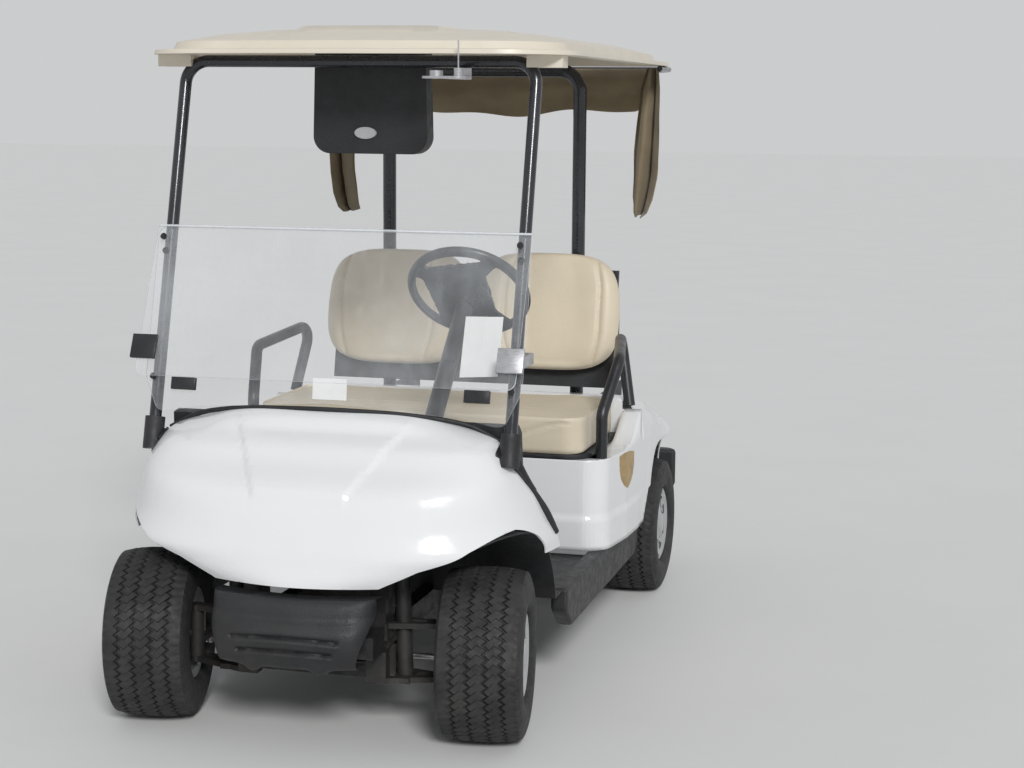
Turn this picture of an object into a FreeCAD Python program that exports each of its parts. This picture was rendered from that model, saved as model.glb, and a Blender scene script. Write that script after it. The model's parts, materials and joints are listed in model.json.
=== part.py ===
"""Two-seat golf cart, as a parametric document with one labelled object for each sub-part.

Millimetres. +X is the driver's side, -Y the front and +Z up. The origin is on the ground,
under the middle of the cart's length and width. The cart stands with its front wheels
turned a little to the driver's side.
"""
import FreeCAD, Part
import math
import os

import Sketcher
from FreeCAD import Placement, Rotation, Vector

doc = FreeCAD.newDocument("GolfCart")
sheet = doc.addObject("Spreadsheet::Sheet", "Sizes")


# Sizes: each has a name, a value and a meaning, and the sheet holds them all.

SIZES = [
    # name, value, meaning
    ("wheelbase", 1660, "front axle to rear axle"),
    ("front_overhang", 282, "front axle to the face of the front bumper"),
    ("rear_overhang", 443, "rear axle to the face of the rear bumper"),
    ("front_track", 875, "between the front tyres' centres, wheels straight"),
    ("rear_track", 980, "between the rear tyres' centres"),
    ("floor_top", 295, "ground to the top of the floor"),
    ("floor_thickness", 12, "floor and toe board"),
    ("toe_foot", 392, "toe board's foot behind the front axle"),
    ("toe_head", 336, "toe board's top behind the front axle"),
    ("toe_top", 500, "toe board's top above the ground"),
    ("skin", 4, "wall of a moulded plastic shell"),
    ("gap", 0.3, "seat of one piece on another where the faces curve"),
    # Tyres and wheels
    ("tyre_radius", 220, "ground to the wheel's axis"),
    ("tyre_width", 218, "across the sidewalls"),
    ("tread_half", 97, "half of the tread's width"),
    ("tread_drop", 4, "tread edge below the crown"),
    ("shoulder_drop", 20, "shoulder below the crown"),
    ("rim_radius", 118, "wheel flange"),
    ("rim_half", 92, "half of the wheel's width over its flanges"),
    ("bead_radius", 101, "wheel's seat for the tyre"),
    ("well_radius", 88, "drop centre of the wheel"),
    ("rim_wall", 4, "sheet of the wheel"),
    ("disc_face", 40, "wheel's centre plane to the disc's outer face"),
    ("disc_wall", 6, "disc where the wheel is bolted on"),
    ("hub_radius", 42, "hub behind the disc"),
    ("hub_inner", 24, "hub's end inside the wheel's centre plane"),
    ("hub_nose", 52, "hub's end outside the wheel's centre plane"),
    ("hub_nose_radius", 33, "hub's register outside the disc"),
    ("spindle_radius", 16, "stub axle"),
    ("spindle_play", 0.06, "stub axle to hub bore, on the radius"),
    ("lug_circle", 101.6, "wheel bolts' pitch circle diameter"),
    ("lug_hole_radius", 6.5, "wheel bolt's hole"),
    ("lug_count", 4, "wheel bolts"),
    ("cover_radius", 106, "wheel cover"),
    ("cover_depth", 26, "wheel cover, rim to nose"),
    ("cover_wall", 3, "wheel cover's sheet"),
    ("cover_slots", 10, "openings in a wheel cover"),
    # Steering
    ("kingpin_inset", 95, "kingpin to the wheel's centre plane"),
    ("kingpin_radius", 9, "kingpin"),
    ("kingpin_play", 0.06, "kingpin to its bore, on the radius"),
    ("knuckle_radius", 19, "knuckle's barrel"),
    ("knuckle_low", 160, "knuckle's lower face"),
    ("knuckle_high", 282, "knuckle's upper face"),
    ("pivot_gap", 0.5, "between faces that turn on each other"),
    ("arm_back", 70, "kingpin to the steering arm's eye, rearwards"),
    ("arm_in", 18, "kingpin to the steering arm's eye, inwards"),
    ("arm_low", 192, "steering arm's lower face"),
    ("arm_thickness", 12, "steering arm"),
    ("arm_eye", 14, "steering arm's eye"),
    ("rest_left", 8, "left wheel's turn as it stands, degrees"),
    ("rest_right", 11, "right wheel's turn as it stands, degrees"),
    ("tie_rod_radius", 8, "tie rod"),
    ("tie_joint_radius", 12, "tie rod's ball joint"),
    ("rack_tube_radius", 19, "steering gear's housing"),
    ("rack_play", 0.1, "tie rod to its housing, on the radius"),
    ("column_x", 235, "steering wheel's place off the middle"),
    ("column_y", 547, "steering wheel's centre behind the front axle"),
    ("column_z", 1079, "steering wheel's centre above the ground"),
    ("column_rake", 42, "column above the horizontal, degrees"),
    ("column_radius", 24, "column's shroud"),
    ("shaft_radius", 11, "shaft below the column"),
    ("wheel_ring_radius", 160.5, "steering wheel's ring, to the middle of its grip"),
    ("wheel_grip_radius", 12, "steering wheel's grip"),
    ("wheel_hub_radius", 62, "steering wheel's padded hub"),
    ("wheel_spoke_half", 40, "half width of a spoke at the hub"),
    ("wheel_hub_depth", 52, "steering wheel's hub below the ring"),
    ("wheel_turn", 35, "steering wheel's turn as it stands, degrees"),
    # Frame
    ("rail_inner", 146, "middle to a rail's inner side"),
    ("rail_outer", 190, "middle to a rail's outer side"),
    ("rail_height", 56, "rail, upright"),
    ("rail_rise", 118, "rails' step up over the rear axle"),
    ("cross_width", 44, "cross member, along the cart"),
    ("hitch_spacing", 120, "holes for a tow hitch under the last cross member"),
    ("hitch_hole_radius", 6.5, "tow hitch's hole"),
    ("beam_half", 28, "front beam's half width along the cart"),
    ("wishbone_front", 74, "wishbone's front arm before the axle, at the frame"),
    ("wishbone_rear", 44, "wishbone's rear arm behind the axle, at the frame"),
    ("wishbone_thickness", 14, "wishbone"),
    ("damper_radius", 20, "damper"),
    ("axle_radius", 32, "rear axle's tube"),
    ("gearcase_radius", 105, "rear axle's gear case"),
    ("drum_radius", 76, "rear brake drum"),
    ("leaf_width", 46, "rear leaf spring"),
    ("leaf_thickness", 14, "rear leaf spring's pack"),
    ("engine_length", 290, "engine, along the cart"),
    ("engine_half", 135, "engine's half width"),
    ("engine_height", 270, "engine, upright"),
    # Front cowl
    ("cowl_lip", 415, "ground to the cowl's lower edge in front"),
    ("cowl_crown", 812, "ground to the top of the cowl"),
    ("cowl_half", 575, "half width over the front wings"),
    ("cowl_nose", 220, "cowl's lower front edge before the front axle"),
    ("cowl_top_front", 45, "cowl's top edge behind the front axle"),
    ("cowl_corner", 97, "top edge's outer corners behind the front axle"),
    ("bonnet_half", 351, "bonnet's half width at its rear edge"),
    ("cowl_back", 223, "cowl's lower rear corner behind the front axle"),
    ("cowl_back_z", 461, "cowl's lower rear corner above the ground"),
    ("arch_front_top", 545, "top of the front wheel arch"),
    ("arch_front_edge", 175, "front wheel arch's front corner before the axle"),
    ("liner_radius", 310, "front wheel well's liner"),
    # Front bumper
    ("bumper_top", 394, "bumper's upper edge"),
    ("bumper_bottom", 223, "bumper's lower corner"),
    ("bumper_keel", 189, "bumper's two lowest lobes"),
    ("bumper_top_half", 214, "bumper's half width, above"),
    ("bumper_low_half", 185, "bumper's half width, below"),
    ("bumper_wall", 6, "bumper's wall"),
    ("bumper_groove", 9, "bumper's grooves"),
    # Windscreen and roof
    ("post_radius", 16, "front roof post"),
    ("post_x", 481, "front roof post's place off the middle"),
    ("post_foot_y", 64, "front post behind the front axle where it leaves the cowl"),
    ("post_foot_z", 755, "the same place above the ground"),
    ("boot_wall", 10, "rubber boot round a front post"),
    ("boot_low", 690, "lower end of a front post and its boot, above the ground"),
    ("boot_high", 772, "boot's upper edge"),
    ("boot_flap", 4, "boot's flap that lies on the cowl"),
    ("boot_tail_y", 140, "tip of the flap behind the front axle"),
    ("boot_tail_z", 618, "tip of the flap above the ground"),
    ("post_rake", 14.7, "front post from the upright, degrees"),
    ("pane_half", 507, "windscreen's half width"),
    ("pane_thickness", 5, "windscreen sheet"),
    ("pane_hinge_z", 1261, "windscreen's hinge above the ground"),
    ("pane_gap", 4, "windscreen's face to the posts"),
    ("upper_pane_length", 406, "folded upper pane"),
    ("upper_pane_swing", 24, "folded upper pane from the upright, degrees"),
    ("roof_low", 1712, "roof's lower edge"),
    ("roof_hollow", 30, "depth of the hollow under the roof"),
    ("roof_rim", 44, "flat rim round the roof"),
    ("roof_rim_thickness", 12, "the rim, upright"),
    ("roof_panel_half", 205, "half width of the roof's raised middle"),
    ("roof_bow", 30, "how far the roof's front edge bows out at its middle"),
    ("roof_front_corner", 210, "roof's front corners"),
    ("roof_top", 1790, "top of the roof"),
    ("roof_half", 582, "roof's half width"),
    ("roof_front", 125, "roof's front edge behind the front axle"),
    ("roof_back", 75, "roof's rear edge behind the rear axle"),
    ("roof_corner", 90, "roof's rear corners"),
    ("bracket_inset", 29, "roof's corner blocks in from its sides"),
    ("bracket_width", 94, "roof's corner block, across the cart"),
    ("antenna_x", 292, "antenna's plate off the middle"),
    ("antenna_y", 115, "antenna behind the front axle"),
    ("antenna_z", 1650, "antenna's plate above the ground"),
    ("display_half", 160, "half width of the housing under the roof"),
    ("display_depth", 58, "the housing, along the cart"),
    ("display_low", 1454, "the housing's lower edge"),
    ("display_y", 430, "the housing's middle behind the front axle"),
    ("rear_post_x", 318, "rear roof post's place off the middle"),
    ("rear_post_y", 115, "rear roof post before the rear axle"),
    ("rear_post_radius", 21.5, "rear roof post"),
    # Rear body
    ("pod_front", 830, "seat pod's face before the rear axle"),
    ("pod_top", 572, "seat pod's top under the cushion"),
    ("pod_inset", 42, "seat pod's sides in from the wings at its face"),
    ("body_half", 598, "half width over the rear wings"),
    ("wing_top", 700, "rear wing beside the seat's back"),
    ("wing_shoulder", 100, "rear wing's rounded shoulder"),
    ("tail_top", 575, "rear wing at the tail"),
    ("tail_y", 385, "tail behind the rear axle"),
    ("tail_inset", 42, "tail's sides in from the wings"),
    ("arch_rear_half", 287, "rear wheel arch's half length"),
    ("arch_rear_top", 527, "top of the rear wheel arch"),
    ("arch_corner", 165, "rear wheel arch's corners"),
    ("well_half", 330, "bag well's half width"),
    ("well_floor", 452, "bag well's floor"),
    ("well_front", 60, "bag well's front wall before the rear axle"),
    ("sill_half", 560, "half width over the sills"),
    ("sill_bottom", 190, "sill's lower edge"),
    ("sill_top", 307, "sill's upper edge"),
    ("sill_rise", 404, "sill's upper edge at the rear wheel arch"),
    ("rear_bumper_half", 560, "rear bumper's half width"),
    ("rear_bumper_low", 270, "rear bumper's lower edge"),
    ("rear_bumper_high", 400, "rear bumper's upper edge"),
    # Seats
    ("cushion_inset", 98, "seat cushion's sides in from the wings"),
    ("cushion_front", 850, "cushion's front before the rear axle"),
    ("cushion_back", 400, "cushion's rear edge before the rear axle"),
    ("cushion_bottom", 588, "cushion's underside"),
    ("cushion_thickness", 118, "cushion"),
    ("trim_height", 16, "black trim under the cushion"),
    ("back_inset", 16, "seat backs' outer sides in from the cushion's"),
    ("back_gap", 8, "between the two seat backs"),
    ("back_low", 748, "seat back's lower edge"),
    ("back_high", 1117, "seat back's upper edge"),
    ("back_front", 330, "seat back's front before the rear axle"),
    ("back_thickness", 82, "seat back"),
    ("back_rake", 12, "seat back from the upright, degrees"),
    ("rail_tube_radius", 17, "hip restraint"),
    ("basket_half", 425, "basket's half width"),
    ("basket_low", 722, "basket's floor"),
    ("basket_high", 925, "basket's rim"),
    ("basket_depth", 190, "basket, along the cart"),
    ("rack_bar_radius", 12, "bag rack's bar"),
    ("cover_hoop_radius", 9, "hoop that carries the bag cover"),
    ("cover_drop", 1229, "lowest point of the bag cover's sides"),
    ("cover_valance", 1535, "lower edge of the bag cover behind"),
    ("cover_fold", 22, "bag cover's thickness where it is folded up"),
]


class Size:
    """A number with the formula that ties it to the sheet."""

    def __init__(self, value, formula):
        self.value = float(value)
        self.formula = formula

    def __add__(self, other):
        other = as_size(other)
        return Size(self.value + other.value, f"({self.formula} + {other.formula})")

    def __radd__(self, other):
        return as_size(other) + self

    def __sub__(self, other):
        other = as_size(other)
        return Size(self.value - other.value, f"({self.formula} - {other.formula})")

    def __rsub__(self, other):
        return as_size(other) - self

    def __mul__(self, other):
        other = as_size(other)
        return Size(self.value * other.value, f"({self.formula} * {other.formula})")

    def __rmul__(self, other):
        return as_size(other) * self

    def __truediv__(self, other):
        other = as_size(other)
        return Size(self.value / other.value, f"({self.formula} / {other.formula})")

    def __neg__(self):
        return Size(-self.value, f"(0 - {self.formula})")

    def __float__(self):
        return self.value


def as_size(number):
    """A plain number as a size of its own."""
    if isinstance(number, Size):
        return number
    return Size(number, f"({float(number):.6f})")


def sine(angle):
    """The sine of an angle in degrees."""
    return Size(math.sin(math.radians(float(angle))), f"sin({as_size(angle).formula})")


def cosine(angle):
    """The cosine of an angle in degrees."""
    return Size(math.cos(math.radians(float(angle))), f"cos({as_size(angle).formula})")


def tangent(angle):
    """The tangent of an angle in degrees."""
    return Size(math.tan(math.radians(float(angle))), f"tan({as_size(angle).formula})")


class Named:
    """The sheet's sizes, each under its own name."""


S = Named()
for line, (alias, value, meaning) in enumerate(SIZES, 1):
    sheet.set(f"A{line}", alias)
    sheet.set(f"B{line}", str(value))
    sheet.set(f"C{line}", meaning)
    sheet.setAlias(f"B{line}", alias)
doc.recompute()
for alias, value, meaning in SIZES:
    setattr(S, alias, Size(sheet.get(alias), f"Sizes.{alias}"))


# Places that many pieces share.

FRONT_Y = S.front_overhang - (S.front_overhang + S.wheelbase + S.rear_overhang) / 2
REAR_Y = FRONT_Y + S.wheelbase
KINGPIN_X = S.front_track / 2 - S.kingpin_inset
FLOOR_BOTTOM = S.floor_top - S.floor_thickness
POD_HALF = S.body_half - S.pod_inset
TAIL_HALF = S.body_half - S.tail_inset
CUSHION_HALF = S.body_half - S.cushion_inset
BACK_WIDTH = CUSHION_HALF - S.back_inset - S.back_gap / 2
SIDES = [("left", 1), ("right", -1)]


def behind_front(distance):
    """A place along the cart, measured rearwards from the front axle."""
    return FRONT_Y + distance


def behind_rear(distance):
    """A place along the cart, measured rearwards from the rear axle."""
    return REAR_Y + distance


RAIL_TOP = FLOOR_BOTTOM
RAIL_LOW = RAIL_TOP - S.rail_height
REAR_RAIL_TOP = RAIL_TOP + S.rail_rise

# Tools for drawing and building.


def origin_plane(body, role):
    """One of a body's own planes."""
    return next(plane for plane in body.Origin.OriginFeatures if plane.Role == role)


def bind(item, prop, size):
    """Ties a property to the sheet."""
    item.setExpression(prop, as_size(size).formula)


def arc_between(start, end, radius, bulge_left):
    """A circle's shorter arc between two points, and whether it starts at the first."""
    chord = end - start
    left = Vector(-chord.y, chord.x, 0).normalize()
    reach = math.sqrt(max(radius ** 2 - (chord.Length / 2) ** 2, 0))
    centre = (start + end) * 0.5 + left * (-reach if bulge_left else reach)
    first, last = (end, start) if bulge_left else (start, end)
    begin = math.atan2(first.y - centre.y, first.x - centre.x)
    finish = math.atan2(last.y - centre.y, last.x - centre.x)
    circle = Part.Circle(centre, Vector(0, 0, 1), radius)
    return Part.ArcOfCircle(circle, begin, finish), not bulge_left


def draw(sketch, corners):
    """Draws one closed outline. A corner is (u, v), or (u, v, r) where the line that leaves it
    is an arc of radius r, bulging out of the outline, or into it where r is negative."""
    points = [Vector(float(corner[0]), float(corner[1]), 0) for corner in corners]
    area = sum(a.x * b.y - b.x * a.y for a, b in zip(points, points[1:] + points[:1]))
    ends = []
    for i, corner in enumerate(corners):
        start, end = points[i], points[(i + 1) % len(points)]
        if len(corner) == 2:
            line = sketch.addGeometry(Part.LineSegment(start, end))
            ends.append((line, 1, 2))
            continue
        radius = as_size(corner[2])
        outwards_left = (area < 0) == (radius.value > 0)
        arc, forwards = arc_between(start, end, abs(radius.value), outwards_left)
        line = sketch.addGeometry(arc)
        ends.append((line, 1, 2) if forwards else (line, 2, 1))
        size = radius if radius.value > 0 else -radius
        row = sketch.addConstraint(Sketcher.Constraint("Radius", line, size.value))
        bind(sketch, f"Constraints[{row}]", size)
    for i, corner in enumerate(corners):
        line, first, _ = ends[i]
        before, _, last = ends[i - 1]
        sketch.addConstraint(Sketcher.Constraint("Coincident", before, last, line, first))
        for kind, size in (("DistanceX", corner[0]), ("DistanceY", corner[1])):
            held = Sketcher.Constraint(kind, -1, 1, line, first, float(size))
            row = sketch.addConstraint(held)
            bind(sketch, f"Constraints[{row}]", size)


def draw_circle(sketch, u, v, radius):
    """Draws one circle."""
    ring = sketch.addGeometry(Part.Circle(Vector(float(u), float(v), 0), Vector(0, 0, 1), float(radius)))
    for kind, size in (("DistanceX", u), ("DistanceY", v)):
        row = sketch.addConstraint(Sketcher.Constraint(kind, -1, 1, ring, 3, float(size)))
        bind(sketch, f"Constraints[{row}]", size)
    row = sketch.addConstraint(Sketcher.Constraint("Radius", ring, float(radius)))
    bind(sketch, f"Constraints[{row}]", radius)


def new_body(label):
    """An empty body for one sub-part."""
    body = doc.addObject("PartDesign::Body", label)
    body.Label = label
    return body


def body_sketch(body, role, offset, corners=None, circles=()):
    """A sketch on a body's own plane, moved along the plane's normal."""
    sketch = body.newObject("Sketcher::SketchObject", f"{body.Label}_sketch")
    sketch.AttachmentSupport = [(origin_plane(body, role), "")]
    sketch.MapMode = "FlatFace"
    sketch.AttachmentOffset = Placement(Vector(0, 0, float(offset)), Rotation())
    bind(sketch, "AttachmentOffset.Base.z", offset)
    if corners:
        draw(sketch, corners)
    for circle in circles:
        draw_circle(sketch, *circle)
    return sketch


def feature(body, kind, sketch, **settings):
    """Adds a feature of a body, made from a sketch."""
    doc.recompute()
    if "Invalid" in sketch.State:
        raise RuntimeError(f"{body.Label}: {sketch.Name} can't be solved")
    item = body.newObject(f"PartDesign::{kind}", f"{body.Label}_{kind.lower()}")
    item.Profile = sketch
    for name, setting in settings.items():
        if isinstance(setting, Size):
            setattr(item, name, setting.value)
            bind(item, name, setting)
        else:
            setattr(item, name, setting)
    sketch.Visibility = False
    doc.recompute()
    return item


def pad(body, role, offset, length, corners=None, circles=()):
    """Adds material from a plane along its normal."""
    sketch = body_sketch(body, role, offset, corners, circles)
    return feature(body, "Pad", sketch, Length=as_size(length))


def pocket(body, role, offset, length, corners=None, circles=()):
    """Takes material away from a plane against its normal, and says so if it takes none."""
    doc.recompute()
    before = body.Shape.Volume
    sketch = body_sketch(body, role, offset, corners, circles)
    item = feature(body, "Pocket", sketch, Length=as_size(length))
    if not body.Shape.Volume < before:
        raise RuntimeError(f"{body.Label}: a pocket cuts nothing")
    return item


def revolve(body, role, axis, corners=None, circles=()):
    """Turns an outline round one of its sketch's axes."""
    sketch = body_sketch(body, role, as_size(0), corners, circles)
    return feature(body, "Revolution", sketch, ReferenceAxis=(sketch, [axis]), Angle=360.0)


def loft(body, kind, role, sections, ruled=False):
    """A loft through outlines on parallel planes: (offset, corners) for each."""
    sketches = [body_sketch(body, role, offset, corners) for offset, corners in sections]
    item = body.newObject(f"PartDesign::{kind}", f"{body.Label}_{kind.lower()}")
    item.Profile = sketches[0]
    item.Sections = sketches[1:]
    item.Ruled = ruled
    doc.recompute()
    for sketch in sketches:
        sketch.Visibility = False
    return item


def mirror_all(body, role, items):
    """Mirrors features of a body across one of its planes."""
    item = body.newObject("PartDesign::Mirrored", f"{body.Label}_mirror")
    item.Originals = items
    item.MirrorPlane = (origin_plane(body, role), [""])
    body.Tip = item
    doc.recompute()
    return item


def repeat_round(body, items, role, count):
    """Repeats features of a body round one of its axes."""
    item = body.newObject("PartDesign::PolarPattern", f"{body.Label}_pattern")
    item.Originals = items
    axis = next(line for line in body.Origin.OriginFeatures if line.Role == role)
    item.Axis = (axis, [""])
    item.Angle = 360.0
    item.Occurrences = int(float(count))
    bind(item, "Occurrences", count)
    body.Tip = item
    doc.recompute()
    return item


def place(item, x, y, z, rotation=None):
    """Puts an object at its place, tied to the sheet."""
    item.Placement = Placement(Vector(float(x), float(y), float(z)), rotation or Rotation())
    for letter, size in (("x", x), ("y", y), ("z", z)):
        bind(item, f"Placement.Base.{letter}", size)


def block(name, x, y, z):
    """A box between two places on each axis."""
    item = doc.addObject("Part::Box", name)
    for prop, (low, high) in (("Length", x), ("Width", y), ("Height", z)):
        bind(item, prop, as_size(high) - low)
    place(item, x[0], y[0], z[0])
    return item


def leaned_block(name, x, depth, height, y, z, rake):
    """A box leaned back about a line across the cart; depth and height are taken before it leans."""
    item = doc.addObject("Part::Box", name)
    for prop, (low, high) in (("Length", x), ("Width", depth), ("Height", height)):
        bind(item, prop, as_size(high) - low)
    low_y = y + as_size(depth[0]) * cosine(rake) + as_size(height[0]) * sine(rake)
    low_z = z - as_size(depth[0]) * sine(rake) + as_size(height[0]) * cosine(rake)
    place(item, as_size(x[0]), low_y, as_size(low_z), Rotation(Vector(1, 0, 0), -float(rake)))
    return item


def rod(name, start, end, radius):
    """A cylinder from one point to another."""
    item = doc.addObject("Part::Cylinder", name)
    run = Vector(*map(float, end)) - Vector(*map(float, start))
    item.Height = run.Length
    bind(item, "Radius", radius)
    place(item, *start, rotation=Rotation(Vector(0, 0, 1), run))
    return item


def prism(name, role, offset, length, corners):
    """An outline carried straight: XY upwards, YZ towards +X, XZ towards the front."""
    turns = {
        "XY": Rotation(),
        "XZ": Rotation(Vector(1, 0, 0), 90),
        "YZ": Rotation(Vector(1, 1, 1), 120),
    }
    normals = {"XY": Vector(0, 0, 1), "XZ": Vector(0, -1, 0), "YZ": Vector(1, 0, 0)}
    letters = {"XY": ("z", 1), "XZ": ("y", -1), "YZ": ("x", 1)}
    sketch = doc.addObject("Sketcher::SketchObject", f"{name}_outline")
    letter, sign = letters[role]
    sketch.Placement = Placement(normals[role] * float(offset), turns[role])
    bind(sketch, f"Placement.Base.{letter}", as_size(offset) * sign)
    draw(sketch, corners)
    item = doc.addObject("Part::Extrusion", name)
    item.Base = sketch
    item.DirMode = "Normal"
    item.Solid = True
    bind(item, "LengthFwd", length)
    return item


def combine(kind, name, items):
    """A boolean of several objects: MultiFuse, MultiCommon, or Cut of the first by the rest."""
    if kind == "Cut":
        item = doc.addObject("Part::Cut", name)
        item.Base = items[0]
        item.Tool = items[1] if len(items) == 2 else combine("MultiFuse", f"{name}_tools", items[1:])
        return item
    item = doc.addObject(f"Part::{kind}", name)
    item.Shapes = items
    return item


def shaped(name, shape):
    """A sub-part whose form is worked out below from the sheet's sizes."""
    item = doc.addObject("Part::Feature", name)
    item.Shape = shape
    return item


def point(x, y, z):
    """A point from three sizes."""
    return Vector(float(x), float(y), float(z))


def bent_path(points, bend):
    """Straight runs joined by tangent arcs of one bend radius."""
    edges = []
    start = points[0]
    for before, corner, after in zip(points, points[1:], points[2:]):
        back = (before - corner).normalize()
        onwards = (after - corner).normalize()
        half = back.getAngle(onwards) / 2
        setback = bend / math.tan(half)
        middle = corner + (back + onwards).normalize() * (bend / math.sin(half) - bend)
        edges.append(Part.LineSegment(start, corner + back * setback).toShape())
        edges.append(Part.Arc(corner + back * setback, middle, corner + onwards * setback).toShape())
        start = corner + onwards * setback
    edges.append(Part.LineSegment(start, points[-1]).toShape())
    return Part.Wire(edges)


def bent_tube(points, radius, bend):
    """A round bar bent along points."""
    path = bent_path(points, float(bend))
    ring = Part.Circle(points[0], points[1] - points[0], float(radius)).toShape()
    return path.makePipeShell([Part.Wire(ring)], True, False)


NODES = []


def node(item, label):
    """Marks an object as a finished sub-part."""
    item.Label = label
    NODES.append(item)
    return item


def rectangle(u, v):
    """The four corners of a rectangle."""
    return [(u[0], v[0]), (u[1], v[0]), (u[1], v[1]), (u[0], v[1])]


def rounded(half, low, high, corner):
    """A rectangle with rounded corners, symmetric about the middle."""
    return [
        (corner - half, low), (half - corner, low, corner), (half, low + corner),
        (half, high - corner, corner), (half - corner, high), (corner - half, high, corner),
        (-half, high - corner), (-half, low + corner, corner),
    ]


# Wheels


def wheel_place(name, side, front):
    """Where a wheel's centre is and how far the wheel is turned."""
    if not front:
        return S.rear_track / 2 * side, REAR_Y, S.tyre_radius, as_size(0)
    turn = S.rest_left if side > 0 else S.rest_right
    reach = S.kingpin_inset * side
    x = KINGPIN_X * side + reach * cosine(turn)
    y = FRONT_Y + reach * sine(turn)
    return x, y, S.tyre_radius, turn


def put_wheel(body, where, side):
    """Puts a wheel's piece, drawn with its outer side towards +X, at its axle."""
    x, y, z, turn = where
    angle = float(turn) + (0 if side > 0 else 180)
    place(body, x, y, z, Rotation(Vector(0, 0, 1), angle))


def tyre(name, where, side):
    """A low tyre of solid section: a flat tread, drawn-in shoulders and full sidewalls."""
    body = new_body(name)
    tread_edge = S.tyre_radius - S.tread_drop
    shoulder = S.tyre_radius - S.shoulder_drop
    half = S.tyre_width / 2
    flank = shoulder - S.rim_radius
    seat = S.rim_half - S.rim_wall * 2
    right = [
        (seat, S.rim_radius), (half - 4, S.rim_radius + flank * 0.2), (half, S.rim_radius + flank * 0.5),
        (half - 3, shoulder - flank * 0.12), (S.tread_half + 4, shoulder + S.tread_drop),
        (S.tread_half, tread_edge), (S.tread_half * 0.5, S.tyre_radius),
    ]
    left = [(-u, v) for u, v in reversed(right)]
    revolve(body, "XY_Plane", "H_Axis", [(-seat, S.bead_radius), (seat, S.bead_radius)] + right + left)
    put_wheel(body, where, side)
    return node(body, name)


def rim(name, where, side):
    """A steel wheel with its disc and hub."""
    body = new_body(name)
    wall = S.rim_wall
    seat = S.bead_radius
    well = S.well_radius
    flange = S.rim_radius
    inner_face = S.disc_face - S.disc_wall
    bore = S.spindle_radius + S.spindle_play
    edge = S.rim_half - wall * 2
    revolve(body, "XY_Plane", "H_Axis", [
        (-S.rim_half, flange), (-edge, flange), (-edge, seat), (-50, seat), (-38, well), (18, well),
        (30, seat), (edge, seat), (edge, flange), (S.rim_half, flange), (S.rim_half, flange - wall),
        (edge + wall, seat - wall), (S.disc_face, seat - wall), (S.disc_face, S.hub_nose_radius),
        (S.hub_nose, S.hub_nose_radius), (S.hub_nose, bore), (-S.hub_inner, bore),
        (-S.hub_inner, S.hub_radius), (inner_face, S.hub_radius), (inner_face, seat - wall),
        (32, seat - wall), (20, well - wall), (-40, well - wall), (-52, seat - wall),
        (-edge - wall, seat - wall), (-S.rim_half, flange - wall),
    ])
    hole = pocket(body, "YZ_Plane", S.disc_face + 1, S.disc_wall + 2,
                  circles=[(0, S.lug_circle / 2, S.lug_hole_radius)])
    repeat_round(body, [hole], "X_Axis", S.lug_count)
    put_wheel(body, where, side)
    return node(body, name)


def wheel_cover(name, where, side):
    """A dished cover with a ring of openings, clipped inside the wheel's outer flange."""
    body = new_body(name)
    base = S.rim_half - 14
    wall = S.cover_wall
    grip = S.bead_radius - S.rim_wall - S.gap
    revolve(body, "XY_Plane", "H_Axis", [
        (base, grip - wall), (base, grip), (base + 10, grip), (S.rim_half + 1, S.cover_radius),
        (S.rim_half + 4, S.cover_radius), (base + 12, S.cover_radius - 16), (base, 62), (base + 6, 40),
        (base + S.cover_depth - 6, 34), (base + S.cover_depth - 6, 0), (base + S.cover_depth - 9, 0),
        (base + S.cover_depth - 9, 31), (base + 2, 37), (base - wall - 1, 60),
        (base + 6, S.cover_radius - 18), (base + 6, grip - wall),
    ])
    slot = pocket(body, "YZ_Plane", S.rim_half + 8, 40,
                  [(-6, 56), (6, 56), (11, 80), (-11, 80)])
    repeat_round(body, [slot], "X_Axis", S.cover_slots)
    put_wheel(body, where, side)
    return node(body, name)


for end, front in (("front", True), ("rear", False)):
    for hand, side in SIDES:
        where = wheel_place(end, side, front)
        tyre(f"tyre_{end}_{hand}", where, side)
        rim(f"wheel_{end}_{hand}", where, side)
        wheel_cover(f"wheel_cover_{end}_{hand}", where, side)


# Steering


def knuckle(hand, side, turn):
    """A knuckle: upright barrel, stub axle and steering arm, turned about its kingpin."""
    body = new_body(f"knuckle_{hand}")
    height = S.knuckle_high - S.knuckle_low
    bore = S.kingpin_radius + S.kingpin_play
    pad(body, "XY_Plane", S.knuckle_low, height, circles=[(0, 0, S.knuckle_radius)])
    eye_x = -S.arm_in * side
    web = S.arm_eye - 3
    pad(body, "XY_Plane", S.arm_low, S.arm_thickness, [
        (eye_x - web, S.arm_back), (eye_x + web, S.arm_back), (web + 3, 0), (-web - 3, 0),
    ])
    pad(body, "XY_Plane", S.arm_low, S.arm_thickness, circles=[(eye_x, S.arm_back, S.arm_eye)])
    spindle_end = (S.kingpin_inset + S.hub_nose - 4) * side
    start = as_size(0) if side > 0 else spindle_end
    pad(body, "YZ_Plane", start, S.kingpin_inset + S.hub_nose - 4,
        circles=[(0, S.tyre_radius, S.spindle_radius)])
    pocket(body, "XY_Plane", S.knuckle_high + 1, height + 2, circles=[(0, 0, bore)])
    place(body, KINGPIN_X * side, FRONT_Y, as_size(0), Rotation(Vector(0, 0, 1), float(turn)))
    return node(body, f"knuckle_{hand}")


knuckle("left", 1, S.rest_left)
knuckle("right", -1, S.rest_right)


def eye_at(side, turn):
    """Where a steering arm's eye stands, from the middle of the front axle."""
    inwards, back = -S.arm_in * side, S.arm_back
    x = KINGPIN_X * side + inwards * cosine(turn) - back * sine(turn)
    y = inwards * sine(turn) + back * cosine(turn)
    return x, y


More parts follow.
